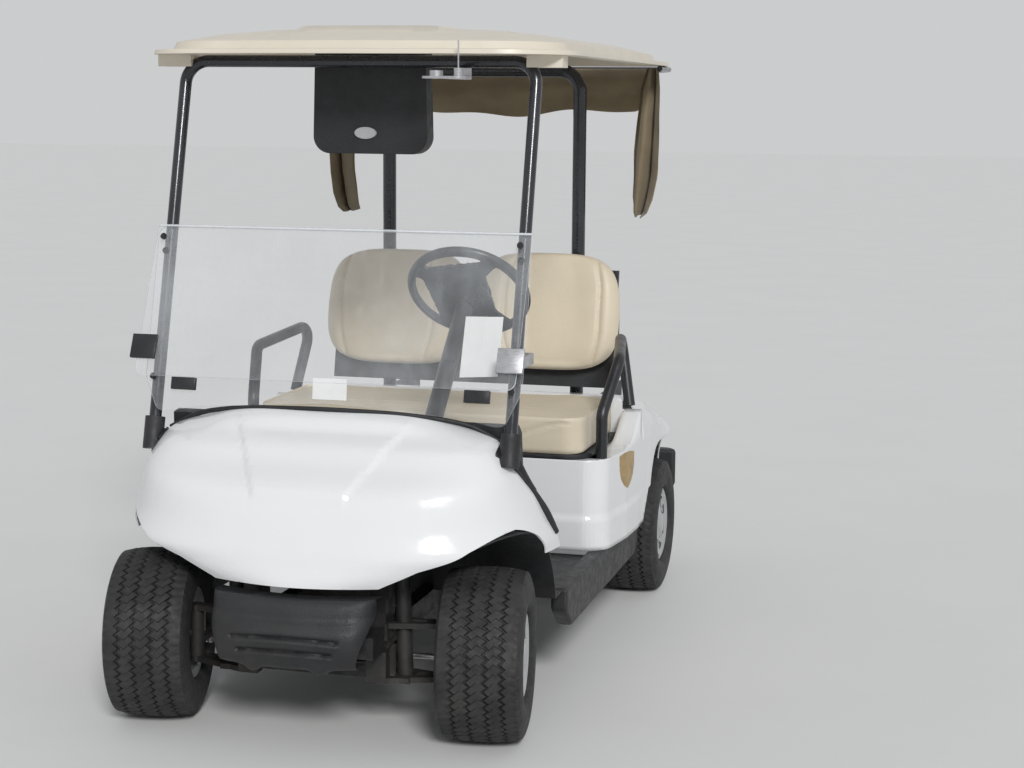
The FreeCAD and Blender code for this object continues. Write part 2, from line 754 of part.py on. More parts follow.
left_eye = eye_at(1, S.rest_left)
right_eye = eye_at(-1, S.rest_right)
ROD_Y = behind_front((left_eye[1] + right_eye[1]) / 2)
JOINT_TOP = S.arm_low - S.pivot_gap
JOINT_LOW = JOINT_TOP - S.tie_rod_radius * 2
ROD_Z = JOINT_TOP - S.tie_rod_radius


def tie_rod():
    """One rod between the two steering arms, with a ball joint under each eye."""
    body = new_body("tie_rod")
    pad(body, "YZ_Plane", right_eye[0], left_eye[0] - right_eye[0],
        circles=[(ROD_Y, ROD_Z, S.tie_rod_radius)])
    for x, y in (left_eye, right_eye):
        pad(body, "XY_Plane", JOINT_LOW, S.tie_rod_radius * 2,
            circles=[(x, behind_front(y), S.tie_joint_radius)])
    return node(body, "tie_rod")


tie_rod()


SPOKE_HEADINGS = (235, 355, 115)


def column_point(distance):
    """A point on the steering column's axis, down from the steering wheel's centre."""
    return (S.column_x, behind_front(S.column_y) - cosine(S.column_rake) * distance,
            S.column_z - sine(S.column_rake) * distance)


GEAR_X = S.column_x - 130
SHAFT_END = 660


def lower_shaft(name, radius):
    """The shaft from the steering gear up to the column's joint, or the room for it."""
    return rod(name, (GEAR_X, ROD_Y - 14, ROD_Z + 12), column_point(SHAFT_END), radius)


def steering_column():
    """Shroud and shaft down to the steering gear, whose housing carries the tie rod."""
    shroud_top, shroud_end, half = 62, 500, 110
    housing = rod("gear_housing", (GEAR_X - half, ROD_Y, ROD_Z), (GEAR_X + half, ROD_Y, ROD_Z),
                  S.rack_tube_radius)
    bore = rod("gear_bore", (GEAR_X - half - 10, ROD_Y, ROD_Z), (GEAR_X + half + 10, ROD_Y, ROD_Z),
               S.tie_rod_radius + S.rack_play)
    bracket = block("gear_bracket", (S.rail_inner, S.rail_outer), (ROD_Y - 14, ROD_Y + 14), (ROD_Z + 4, RAIL_LOW))
    parts = [
        housing, bracket, lower_shaft("lower_shaft", S.shaft_radius),
        rod("column_shroud", column_point(shroud_end), column_point(shroud_top), S.column_radius),
        rod("upper_shaft", column_point(SHAFT_END), column_point(S.wheel_hub_depth + S.gap), S.shaft_radius + 3),
    ]
    whole = combine("MultiFuse", "column_pieces", parts)
    return node(combine("Cut", "steering_column", [whole, bore]), "steering_column")


steering_column()


def steering_wheel():
    """Ring with three broad flat spokes and a padded hub, on the column's axis."""
    body = new_body("steering_wheel")
    ring, grip, hub, depth = S.wheel_ring_radius, S.wheel_grip_radius, S.wheel_hub_radius, S.wheel_hub_depth
    boss, root = 34, 12
    revolve(body, "XZ_Plane", "V_Axis", circles=[(ring, 0, grip)])
    for heading in SPOKE_HEADINGS:
        across = Vector(math.cos(math.radians(heading)), math.sin(math.radians(heading)), 0)
        side = Vector(-across.y, across.x, 0)
        near, far = across * (float(hub) - root), across * float(ring)
        wide, slim = float(S.wheel_spoke_half), float(S.wheel_spoke_half) * 0.7
        corners = [near + side * wide, near - side * wide, far - side * slim, far + side * slim]
        pad(body, "XY_Plane", -grip / 2, grip * 0.75, [(c.x, c.y) for c in corners])
    revolve(body, "XZ_Plane", "V_Axis", [
        (as_size(0), -depth), (boss, -depth), (boss, -depth / 2), (hub, -grip), (hub, grip / 2),
        (hub * 0.7, grip * 1.5), (as_size(0), grip * 1.7),
    ])
    facing = Rotation(Vector(1, 0, 0), float(S.column_rake) - 90)
    turn = Rotation(Vector(0, 0, 1), float(S.wheel_turn))
    place(body, *column_point(0), rotation=facing * turn)
    return node(body, "steering_wheel")


steering_wheel()


# Frame, axles and engine


def chassis_frame():
    """Two rails with a step up over the rear axle, and the members between them."""
    body = new_body("chassis_frame")
    nose, tail = behind_front(-150), behind_rear(340)
    step, over = behind_rear(-330), behind_rear(-210)
    height = S.rail_height
    members = [
        (behind_front(-150), RAIL_LOW), (behind_front(-22), RAIL_LOW), (behind_front(380), RAIL_LOW),
        (behind_rear(-700), RAIL_LOW), (behind_rear(-390), RAIL_LOW),
        (behind_rear(160), RAIL_LOW + S.rail_rise), (behind_rear(340) - S.cross_width, RAIL_LOW + S.rail_rise),
    ]
    for y, low in members:
        pad(body, "YZ_Plane", -S.rail_outer + 1, S.rail_outer * 2 - 2,
            rectangle((y, y + S.cross_width), (low, low + height)))
    outline = [
        (nose, RAIL_LOW), (step, RAIL_LOW), (over, RAIL_LOW + S.rail_rise), (tail, RAIL_LOW + S.rail_rise),
        (tail, REAR_RAIL_TOP), (over - 12, REAR_RAIL_TOP), (step - 12, RAIL_TOP), (nose, RAIL_TOP),
    ]
    width = S.rail_outer - S.rail_inner
    rail = pad(body, "YZ_Plane", S.rail_inner, width, outline)
    mirror_all(body, "YZ_Plane", [rail])
    post_top, arm_low = as_size(352), as_size(312)
    arm_end = behind_front(-S.front_overhang) + S.bumper_wall + S.gap
    for side in (1, -1):
        start = S.rail_inner + 2 if side > 0 else -S.rail_inner - 24
        pad(body, "YZ_Plane", start, as_size(22), [
            (nose + 4, RAIL_TOP - 4), (nose + S.cross_width, RAIL_TOP - 4), (nose + S.cross_width, post_top),
            (arm_end + 10, post_top), (arm_end + 3, arm_low), (nose + 4, arm_low),
        ])
    last = behind_rear(340) - S.cross_width / 2
    pocket(body, "XY_Plane", REAR_RAIL_TOP + 1, height + 2,
           circles=[(S.hitch_spacing / 2 * side, last, S.hitch_hole_radius) for side in (1, -1)])
    return node(body, "chassis_frame")


chassis_frame()


def wishbone(name, low, share, thickness):
    """A wishbone from the frame to the kingpin on the left side."""
    tip, arm = S.knuckle_radius - 4, 26
    front, rear = -S.wishbone_front * share, S.wishbone_rear * share
    arms = prism(f"{name}_arms", "XY", low, thickness, [
        (S.rail_outer, behind_front(front)), (KINGPIN_X, behind_front(-tip)),
        (KINGPIN_X, behind_front(tip)), (S.rail_outer, behind_front(rear)),
        (S.rail_outer, behind_front(rear - arm)), (KINGPIN_X - 60, behind_front(5)),
        (KINGPIN_X - 60, behind_front(-11)), (S.rail_outer, behind_front(front + arm)),
    ])
    eye = rod(f"{name}_eye", (KINGPIN_X, FRONT_Y, low), (KINGPIN_X, FRONT_Y, low + thickness), S.knuckle_radius)
    return combine("MultiFuse", name, [arms, eye])


def front_suspension():
    """Wishbones above and below each knuckle, with a damper and the kingpin."""
    thick = S.wishbone_thickness
    low = S.knuckle_low - S.pivot_gap - thick
    high = S.knuckle_high + S.pivot_gap
    damper_x = S.rail_outer + 42
    damper_y = behind_front(-12)
    front, rear = behind_front(-S.wishbone_front), behind_front(S.wishbone_rear)
    parts = [
        wishbone("lower_wishbone", low, 1, thick),
        wishbone("upper_wishbone", high, 0.7, thick),
        rod("kingpin", (KINGPIN_X, FRONT_Y, low + 1), (KINGPIN_X, FRONT_Y, high + thick - 1), S.kingpin_radius),
        rod("damper_body", (damper_x, damper_y, low + 2), (damper_x - 12, damper_y, low + 330),
            S.damper_radius),
        block("damper_foot", (damper_x - 22, damper_x + 22), (front + 14, rear - 10), (low, low + thick)),
        block("front_hanger", (S.rail_inner, S.rail_outer + 8), (front, front + 34), (low, RAIL_LOW)),
        block("rear_hanger", (S.rail_inner, S.rail_outer + 8), (rear - 34, rear), (low, RAIL_LOW)),
        block("upper_hanger", (S.rail_outer, S.rail_outer + 8), (front + 14, rear - 8), (RAIL_TOP - 30, high + thick)),
        block("tower", (S.rail_inner + 2, S.rail_outer), (damper_y - 38, damper_y + 38), (RAIL_TOP, RAIL_TOP + 215)),
        block("tower_top", (S.rail_inner + 2, damper_x + 26), (damper_y - 38, damper_y + 38), (low + 322, low + 334)),
    ]
    left = combine("MultiFuse", "suspension_left", parts)
    right = doc.addObject("Part::Mirroring", "suspension_right")
    right.Source = left
    right.Normal = Vector(1, 0, 0)
    beam = block("front_beam", (-S.rail_inner - 4, S.rail_inner + 4),
                 (FRONT_Y - S.beam_half, FRONT_Y + S.beam_half), (low, low + 40))
    return node(combine("MultiFuse", "front_suspension", [left, right, beam]), "front_suspension")


front_suspension()


def rear_axle():
    """Axle tube with its gear case, brake drums and stub axles."""
    body = new_body("rear_axle")
    drum_in, drum_out = 66, 30
    centre = S.rear_track / 2
    half = centre - drum_in
    revolve_corners = [
        (-centre - S.hub_nose + 4, 0), (centre + S.hub_nose - 4, 0),
        (centre + S.hub_nose - 4, S.spindle_radius), (centre - drum_out, S.spindle_radius),
        (centre - drum_out, S.drum_radius), (half, S.drum_radius), (half, S.axle_radius),
        (S.gearcase_radius + 18, S.axle_radius), (70, S.gearcase_radius), (-70, S.gearcase_radius),
        (-S.gearcase_radius - 18, S.axle_radius), (-half, S.axle_radius), (-half, S.drum_radius),
        (-centre + drum_out, S.drum_radius), (-centre + drum_out, S.spindle_radius),
        (-centre - S.hub_nose + 4, S.spindle_radius),
    ]
    revolve(body, "XY_Plane", "H_Axis", revolve_corners)
    place(body, as_size(0), REAR_Y, S.tyre_radius)
    return node(body, "rear_axle")


rear_axle()


def rear_suspension():
    """A leaf spring under the axle on each side, hung from the rails."""
    inner = S.rail_outer + 96
    reach_front, reach_back = 330, 290
    seat = S.tyre_radius - S.axle_radius
    thick = S.leaf_thickness
    ends = RAIL_LOW + 30
    outline = [
        (behind_rear(-reach_front), ends), (behind_rear(-60), seat - thick), (behind_rear(60), seat - thick),
        (behind_rear(reach_back), ends), (behind_rear(reach_back), ends + thick), (behind_rear(60), seat),
        (behind_rear(-60), seat), (behind_rear(-reach_front), ends + thick),
    ]
    parts = []
    for hand, side in SIDES:
        start = inner if side > 0 else -inner - S.leaf_width
        parts.append(prism(f"leaf_{hand}", "YZ", start, S.leaf_width, outline))
        reach = (S.rail_outer, inner + S.leaf_width)
        across = reach if side > 0 else (-reach[1], -reach[0])
        for end, y in (("front", behind_rear(-reach_front)), ("back", behind_rear(reach_back))):
            parts.append(block(f"hanger_{end}_{hand}", across, (y - 12, y + 12), (ends - 6, ends + 26)))
        x = (S.rail_outer, S.rail_outer + 12)
        across = x if side > 0 else (-x[1], -x[0])
        y = behind_rear(reach_back)
        parts.append(block(f"shackle_{hand}", across, (y - 12, y + 12), (ends, REAR_RAIL_TOP - 10)))
        start = inner if side > 0 else -inner - S.leaf_width
        parts.append(block(f"saddle_{hand}", (start, start + S.leaf_width), (REAR_Y - 30, REAR_Y + 30),
                           (seat - 2, seat + 10)))
    whole = combine("MultiFuse", "springs", parts)
    axle = rod("axle_room", (-S.rear_track / 2, REAR_Y, S.tyre_radius), (S.rear_track / 2, REAR_Y, S.tyre_radius),
               S.axle_radius)
    return node(combine("Cut", "rear_suspension", [whole, axle]), "rear_suspension")


rear_suspension()


def engine_block():
    """The engine under the seat, as one plain block on the frame."""
    back = behind_rear(-S.gearcase_radius - 20)
    item = block("engine_block", (-S.engine_half, S.engine_half), (back - S.engine_length, back),
                 (RAIL_TOP + S.gap, RAIL_TOP + S.gap + S.engine_height))
    return node(item, "engine_block")


engine_block()


# Floor and sills


def floor_pan():
    """Floor with a toe board that slopes up to the dash."""
    thick = S.floor_thickness
    back, bend, top = behind_rear(-S.pod_front), behind_front(S.toe_foot), behind_front(S.toe_head)
    outline = [
        (back, FLOOR_BOTTOM), (back, S.floor_top), (bend, S.floor_top), (top, S.toe_top),
        (top - thick, S.toe_top), (bend - thick, FLOOR_BOTTOM),
    ]
    body = new_body("floor_pan")
    width = S.sill_half - 46
    pad(body, "YZ_Plane", -width, width * 2, outline)
    return node(body, "floor_pan")


floor_pan()


def sills():
    """A black rocker moulding along each side of the floor, with a step on top."""
    inner, outer = S.sill_half - 46, S.sill_half
    front, back = behind_front(376), behind_rear(-S.arch_rear_half) - S.gap
    pieces = []
    for hand, side in SIDES:
        start = inner if side > 0 else -outer
        low = S.sill_bottom
        outline = [
            (front, S.sill_top - 60), (front + 70, low), (back - 40, low), (back, low + 30), (back, S.sill_rise),
            (back - 26, S.sill_rise - 4), (back - 96, S.sill_top), (front, S.sill_top),
        ]
        pieces.append(prism(f"sill_{hand}", "YZ", start, outer - inner, outline))
    return node(combine("MultiFuse", "sills", pieces), "sills")


sills()


# Front cowl: a moulded shell of two wings and a raised bonnet


def post_at(height):
    """How far behind the front axle the front posts' axis is at a height."""
    return S.post_foot_y + (as_size(height) - S.post_foot_z) * tangent(S.post_rake)


COWL_LEVELS = [
    # share of the height from lip to crown, share of the nose's way back to the top edge,
    # half width over that at the wings' foot, squareness of the contour
    (-0.10, -0.030, 14, 1.85),
    (0, 0, 11, 1.85),
    (0.08, 0.026, 6, 2.3),
    (0.14, 0.050, 0, 2.75),
    (0.22, 0.075, -7, 3.15),
    (0.30, 0.106, -19, 3.1),
    (0.38, 0.136, -29, 3.1),
    (0.515, 0.205, -51, 3.5),
    (0.59, 0.285, -64, 3.9),
    (0.665, 0.434, -75, 4.4),
    (0.753, 0.585, -95, 4.9),
    (0.816, 0.687, -113, 5.0),
    (0.92, 0.868, -207, 4.6),
    (1, 1, -280, 4.0),
    (1.083, 1.2, -370, 3.5),
]
COWL_DEPTH = as_size(300)


def cowl_contour(share, setback, widening, square, inset):
    """The cowl cut level: a rounded bow from side to side, closed behind by a straight line."""
    height = S.cowl_lip + (S.cowl_crown - S.cowl_lip) * share - inset
    nose = (S.cowl_nose + S.cowl_top_front) * setback - S.cowl_nose + inset
    half = S.cowl_half + widening - inset
    steps = 12
    bow = []
    for i in range(-steps, steps + 1):
        heading = math.radians(90 * i / steps)
        across, along = math.sin(heading), math.cos(heading)
        reach = (abs(across) ** square + along ** square) ** (-1 / square)
        bow.append(point(half * across * reach,
                         behind_front(COWL_DEPTH - (COWL_DEPTH - nose) * along * reach), height))
    curve = Part.BSplineCurve()
    curve.interpolate(bow)
    return Part.Wire([curve.toShape(), Part.LineSegment(bow[-1], bow[0]).toShape()])


def cowl_form(name, inset):
    """The cowl's outer form, or the room inside it, before its edges are cut."""
    return shaped(name, Part.makeLoft([cowl_contour(*row, inset) for row in COWL_LEVELS], True, False))


def cowl_side(name):
    """The cowl seen from the side: the lip, the wheel arch and the wing's rear edge."""
    nose, lip = -S.cowl_nose, S.cowl_lip
    back, back_z = S.cowl_back, S.cowl_back_z
    arch, front = S.arch_front_top, -S.arch_front_edge
    hood = S.cowl_crown + 60
    rows = [
        (nose - 40, lip), (front, lip), (front + 9, lip + 46, -160), (front + 53, arch - 37, -300),
        (3, arch, -240), (85, arch - 30, -150), (121, back_z + 2), (back, back_z), (back - 19, back_z + 43, 900),
        (S.cowl_corner, S.cowl_crown - 72), (S.cowl_corner, hood), (nose - 40, hood),
    ]
    return prism(name, "YZ", -S.cowl_half - 40, S.cowl_half * 2 + 80,
                 [(behind_front(row[0]), *row[1:]) for row in rows])


def cowl_top(name):
    """The cowl seen from above: its rear edge bows forward between the bonnet's corners."""
    half, corner = S.cowl_half + 40, S.bonnet_half
    front, back = -S.cowl_nose - 40, S.cowl_back + 40
    rows = [
        (-half, front), (half, front), (half, back), (corner, back),
        (corner, S.cowl_corner, -1200), (-corner, S.cowl_corner), (-corner, back), (-half, back),
    ]
    return prism(name, "XY", S.cowl_lip - 20, S.cowl_crown - S.cowl_lip + 80,
                 [(row[0], behind_front(row[1]), *row[2:]) for row in rows])


def post_notch(name, side, radius):
    """The room for a front post's boot."""
    x = S.post_x * side
    low, high = S.boot_low - S.gap, as_size(900)
    return rod(name, (x, behind_front(post_at(low)), low), (x, behind_front(post_at(high)), high), radius)


def front_cowl():
    """Hollow cowl, open below, with an arch over each wheel."""
    outer = combine("MultiCommon", "cowl_outside",
                    [cowl_form("cowl_form", as_size(0)), cowl_side("cowl_side"), cowl_top("cowl_top")])
    tools = [cowl_form("cowl_room", S.skin)]
    tools += [post_notch(f"cowl_notch_{hand}", side, S.post_radius + S.boot_wall + S.gap) for hand, side in SIDES]
    return node(combine("Cut", "front_cowl", [outer] + tools), "front_cowl")


front_cowl()


def front_liner():
    """The wheel wells' liners and the panel down to each sill."""
    radius = S.liner_radius
    wall = S.skin
    inner, outer = as_size(212), S.sill_half - 14
    first, last = 15, 118
    back = as_size(374.6)
    pieces = []
    for hand, side in SIDES:
        start = inner if side > 0 else -outer
        rows = [
            (radius * cosine(first), S.tyre_radius + radius * sine(first), -radius),
            (radius * cosine(last), S.tyre_radius + radius * sine(last)),
            ((radius + wall) * cosine(last), S.tyre_radius + (radius + wall) * sine(last), radius + wall),
            ((radius + wall) * cosine(first), S.tyre_radius + (radius + wall) * sine(first)),
            (back, S.sill_top - 4), (back, S.sill_top - 4 - wall),
            (radius * cosine(first), S.sill_top - 4 - wall),
        ]
        pieces.append(prism(f"liner_{hand}", "YZ", start, outer - inner,
                            [(behind_front(row[0]), *row[1:]) for row in rows]))
    whole = combine("MultiFuse", "liner_pieces", pieces)
    inset = S.skin + S.gap
    behind = block("liner_tail", (-S.cowl_half, S.cowl_half), (behind_front(S.cowl_back + 2), behind_front(440)),
                   (as_size(200), as_size(700)))
    room = combine("MultiFuse", "liner_room", [cowl_form("liner_form", inset), behind])
    within = combine("MultiCommon", "liner_within", [whole, room])
    shaft = lower_shaft("liner_shaft_room", S.shaft_radius + S.pivot_gap)
    return node(combine("Cut", "front_liner", [within, shaft]), "front_liner")


front_liner()


def front_bumper():
    """A moulded bumper under the nose, open behind and below, with two lobes along its keel."""
    face, top, low = -S.front_overhang, S.bumper_top, S.bumper_bottom
    wall = S.bumper_wall
    half, narrow = S.bumper_top_half, S.bumper_low_half
    side = [
        (-142, top), (face + 34, top - 6), (face + 10, top - 40), (face, 300), (face + 16, 262),
        (face + 60, 236), (-172, S.bumper_keel - 4),
    ]
    front = [
        (-half, top), (-narrow, low + 8), (-130, low), (-90, S.bumper_keel), (-58, low + 6), (58, low + 6),
        (90, S.bumper_keel), (130, low), (narrow, low + 8), (half, top),
    ]
    outside = combine("MultiCommon", "bumper_outside", [
        prism("bumper_side", "YZ", -half - 20, half * 2 + 40, [(behind_front(y), z) for y, z in side]),
        prism("bumper_outline", "XZ", -behind_front(-100), 300, front),
    ])
    inside = [
        (-120, top - wall), (face + 36, top - 6 - wall), (face + 10 + wall, top - 42), (face + wall, 300),
        (face + 16 + wall, 266), (face + 62, 243), (face + 62, 150), (-120, 150),
    ]
    room = prism("bumper_room", "YZ", -narrow + 12, narrow * 2 - 24,
                 [(behind_front(y), z) for y, z in inside])
    groove = S.bumper_groove
    grooves = [
        block(f"bumper_groove_{level}", (-reach, reach),
              (behind_front(face - 2), behind_front(floor)), (z - groove / 2, z + groove / 2))
        for level, reach, floor, z in (("high", 163, face + 5, 313), ("low", 146, face + 14, 276))
    ]
    return node(combine("Cut", "front_bumper", [outside, room] + grooves), "front_bumper")


front_bumper()


def dash():
    """Dash shelf and panel behind the windscreen, with four cup wells."""
    wall = S.skin
    half = S.post_x - S.post_radius - 14
    rows = [
        (84, 742), (96, 776), (150, 784), (270, 762), (300, 738), (322, 600), (330, 512), (318, 512),
        (96, 548), (84, 560),
    ]
    outer = prism("dash_form", "YZ", -half, half * 2, [(behind_front(y), z) for y, z in rows])
    room = prism("dash_room", "YZ", -half + wall, half * 2 - wall * 2, [
        (behind_front(y), z) for y, z in
        ((88, 700), (262, 700), (300, 596), (312, 500), (88, 500))
    ])
    wells = [rod(f"cup_well_{i}", (x, behind_front(205), 712), (x, behind_front(205), 800), as_size(41))
             for i, x in enumerate((-370, -262, -20, 74))]
    column = rod("dash_column_room", column_point(700), column_point(300), S.column_radius + S.gap)
    under = combine("MultiFuse", "dash_limits", [
        cowl_form("dash_under_cowl", S.skin + S.gap),
        block("dash_behind_cowl", (-half - 1, half + 1), (behind_front(S.cowl_corner + 20), behind_front(400)),
              (as_size(500), as_size(900))),
    ])
    within = combine("MultiCommon", "dash_within", [outer, under])
    return node(combine("Cut", "dash", [within, room, column] + wells), "dash")


dash()


def toe_at(height):
    """How far behind the front axle the toe board's face is at a height."""
    return S.toe_foot + (S.toe_head - S.toe_foot) * (height - S.floor_top) / (S.toe_top - S.floor_top)


def pedals():
    """Brake and accelerator, each on an arm from one bracket on the toe board."""
    low, high, depth = S.floor_top + 30, S.floor_top + 56, 34
    seat = S.gap
    bracket = prism("pedal_bracket", "YZ", as_size(120), as_size(240), [
        (behind_front(toe_at(low) + seat), low), (behind_front(toe_at(low) + depth), low),
        (behind_front(toe_at(high) + depth), high), (behind_front(toe_at(high) + seat), high),
    ])
    parts = [bracket]
    pad_face, pad_back = behind_front(430), behind_front(444)
    for name, arm_x, pad_x, pad_low in (("brake", 184, (140, 236), 94), ("throttle", 304, (276, 340), 50)):
        parts.append(block(f"{name}_arm", (arm_x - 8, arm_x + 8), (behind_front(toe_at(high) + depth / 2), pad_back - 4),
                           (low + 4, low + 20)))
        parts.append(block(f"{name}_stem", (arm_x - 8, arm_x + 8), (pad_face + 1, pad_back - 3),
                           (low + 4, S.floor_top + pad_low + 20)))
        parts.append(block(f"{name}_pad", pad_x, (pad_face, pad_back), (S.floor_top + pad_low, S.floor_top + 160)))
    return node(combine("MultiFuse", "pedals", parts), "pedals")


pedals()


# Posts, windscreen and roof


HEADER_Z = S.roof_low - S.gap - S.post_radius
HEADER_Y = behind_front(post_at(HEADER_Z))
POST_BEND = 60


def front_post_tube(radius):
    """The line of both front posts and their header, as a bar of one radius."""
    x, bottom = S.post_x, S.boot_low
    foot = behind_front(post_at(bottom))
    corners = [
        point(-x, foot, bottom), point(-x, HEADER_Y, HEADER_Z), point(x, HEADER_Y, HEADER_Z), point(x, foot, bottom),
    ]
    return bent_tube(corners, radius, POST_BEND)


def front_posts():
    """Two raked tubes and the header between their tops."""
    return node(shaped("front_posts", front_post_tube(S.post_radius)), "front_posts")


front_posts()


def post_boots():
    """A rubber collar round the foot of each front post, with a teardrop flap down the cowl's side."""
    middle, tip_y, tip_z = post_at(S.boot_high - 20), S.boot_tail_y, S.boot_tail_z
    head, tip = 32, 13
    flap = prism("boot_flap_outline", "YZ", -S.cowl_half, S.cowl_half * 2, [
        (behind_front(y), z, *arc) for y, z, *arc in (
            (tip_y - tip, tip_z + 6, tip + 2), (tip_y + tip, tip_z + 2),
            (middle + head, S.boot_high - 42, head + 4), (middle - head, S.boot_high - 49),
        )
    ])
    sides = block("boot_flap_middle", (30 - S.post_x, S.post_x - 30), (behind_front(-100), behind_front(300)),
                  (as_size(500), as_size(900)))
    skin = combine("Cut", "boot_flap_skin", [cowl_form("boot_flap_face", -S.boot_flap),
                                             cowl_form("boot_flap_back", -S.gap), sides])
    parts = [combine("MultiCommon", "boot_flaps", [skin, flap])]
    for hand, side in SIDES:
        x = S.post_x * side
        foot = (x, behind_front(post_at(S.boot_low)), S.boot_low)
        head_end = (x, behind_front(post_at(S.boot_high)), S.boot_high)
        parts.append(rod(f"boot_{hand}", foot, head_end, S.post_radius + S.boot_wall))
    whole = combine("MultiFuse", "boot_pieces", parts)
    room = shaped("boot_post_room", front_post_tube(S.post_radius + S.gap))
    return node(combine("Cut", "post_boots", [whole, room]), "post_boots")


post_boots()

PANE_BACK = S.post_radius + S.pane_gap


def pane_face(height):
    """The rear face of the fixed pane, along the cart, at a height."""
    return post_at(height) - PANE_BACK / cosine(S.post_rake)


def sheet_plate(name, corners, thickness, rake, foot_y, foot_z):
    """A flat sheet leaned back from the upright about a line across the cart."""
    body = new_body(name)
    pad(body, "XZ_Plane", as_size(0), thickness, corners)
    lean = Rotation(Vector(1, 0, 0), -float(rake))
    place(body, as_size(0), foot_y, foot_z, lean)
    return body


def windshield_lower():
    """The fixed lower pane, its foot following the cowl's crown."""
    foot_z = as_size(820)
    length = (S.pane_hinge_z - foot_z) / cosine(S.post_rake)
    half = S.pane_half
    corners = [
        (-half, length), (half, length), (half, 60), (466, -34), (351, -14), (0, 8), (-351, -14), (-466, -34),
        (-half, 60),
    ]
    body = sheet_plate("windshield_lower", [(u, v) for u, v in corners], S.pane_thickness, S.post_rake,
                       behind_front(pane_face(foot_z)), foot_z)
    return node(body, "windshield_lower")


windshield_lower()


def windshield_upper():
    """The upper pane, folded down in front and hanging from its hinge strip."""
    half, length = S.pane_half, S.upper_pane_length
    corners = [
        (-half, 0), (half, 0), (half, 24 - length, 24), (half - 24, -length), (24 - half, -length, 24),
        (-half, 24 - length),
    ]
    hinge_y = behind_front(pane_face(S.pane_hinge_z)) - S.pane_thickness - 2
    body = sheet_plate("windshield_upper", corners, S.pane_thickness, S.upper_pane_swing,
                       hinge_y, S.pane_hinge_z)
    return node(body, "windshield_upper")


windshield_upper()


def windshield_fittings():
    """Hinge strip, two latches on the fixed pane and a clip on each post for the folded one."""
    pieces = []
    hinge_y = behind_front(pane_face(S.pane_hinge_z))
    strip_low = S.pane_hinge_z + S.pane_thickness * sine(S.upper_pane_swing) + S.gap
    pieces.append(block("hinge_strip", (-S.pane_half, S.pane_half), (hinge_y - 12, hinge_y + 2),
                        (strip_low, strip_low + 5)))
    fixed_front = -S.pane_thickness - S.gap
    latch, latch_z = S.pane_half - 112, as_size(861)
    clip_z = as_size(958)
    folded_y = behind_front(pane_face(S.pane_hinge_z)) - S.pane_thickness - 2
    fall = (S.pane_hinge_z - clip_z) / cosine(S.upper_pane_swing)
    for hand, side in SIDES:
        pieces.append(leaned_block(f"latch_{hand}", (latch * side - 33, latch * side + 33),
                                   (fixed_front - 15, fixed_front), (-16, 16),
                                   behind_front(pane_face(latch_z)), latch_z, S.post_rake))
        outer, edge, lap = S.pane_half + 16, S.pane_half + S.gap, S.pane_half - 52
        reach = (lap, outer) if side > 0 else (-outer, -lap)
        pieces.append(leaned_block(f"clip_face_{hand}", reach, (fixed_front - 10, fixed_front),
                                   (-fall - 32, -fall + 32), folded_y, S.pane_hinge_z, S.upper_pane_swing))
        reach = (edge, outer) if side > 0 else (-outer, -edge)
        post_y = behind_front(post_at(clip_z))
        near = folded_y - fall * sine(S.upper_pane_swing) - 8
        pieces.append(block(f"clip_leg_{hand}", reach, (near, post_y + 10), (clip_z - 14, clip_z + 14)))
        inner = S.post_x + S.post_radius + S.gap
        reach = (inner, outer) if side > 0 else (-outer, -inner)
        pieces.append(block(f"clip_lug_{hand}", reach, (post_y - 10, post_y + 10), (clip_z - 14, clip_z + 14)))
    return node(combine("MultiFuse", "windshield_fittings", pieces), "windshield_fittings")


windshield_fittings()

ROOF_FRONT_Y = behind_front(S.roof_front)
ROOF_BACK_Y = behind_rear(S.roof_back)
ROOF_CEILING = S.roof_low + S.roof_hollow


def roof_outline(inset):
    """The roof from above, drawn in all round: bowed front edge and round corners."""
    half = S.roof_half - inset
    corner, rear_corner, bow = S.roof_front_corner, S.roof_corner, S.roof_bow
    front, back = ROOF_FRONT_Y + inset + bow, ROOF_BACK_Y - inset
    flat = half - corner
    return [
        (-flat, front, (flat * flat + bow * bow) / (bow * 2)), (flat, front, corner), (half, front + corner),
        (half, back - rear_corner, rear_corner), (half - rear_corner, back),
        (rear_corner - half, back, rear_corner), (-half, back - rear_corner), (-half, front + corner, corner),
    ]


def roof():
    """Moulded roof: a flat rim, a step up to a crowned middle with a raised panel, hollow below."""
    body = new_body("roof")
    low, top, rim, edge = S.roof_low, S.roof_top, S.roof_rim, S.roof_rim_thickness
    panel = 8
    crown = top - panel
    loft(body, "AdditiveLoft", "XY_Plane", [(z, roof_outline(inset)) for z, inset in (
        (low, as_size(0)), (low + edge, as_size(2)), (low + edge + 2, rim - 6), (low + edge + 22, rim + 2),
        (crown - 14, rim + 90), (crown, rim + 200),
    )], True)
    half = S.roof_panel_half
    front, back = ROOF_FRONT_Y + rim + 130, ROOF_BACK_Y - rim - 110
    loft(body, "AdditiveLoft", "XY_Plane", [
        (crown - 12, rounded(half, front, back, as_size(60))),
        (top, rounded(half - 16, front + 60, back - 60, as_size(60))),
    ], True)
    loft(body, "SubtractiveLoft", "XY_Plane", [
        (low - 1, roof_outline(rim)), (ROOF_CEILING, roof_outline(rim + 6)),
    ], True)
    return node(body, "roof")


roof()


def rear_posts():
    """Two upright tubes behind the seat and the bar between their tops."""
    x, y = S.rear_post_x, behind_rear(-S.rear_post_y)
    top, bottom = HEADER_Z, as_size(600)
    corners = [point(-x, y, bottom), point(-x, y, top), point(x, y, top), point(x, y, bottom)]
    return node(shaped("rear_posts", bent_tube(corners, S.rear_post_radius, 70)), "rear_posts")


rear_posts()


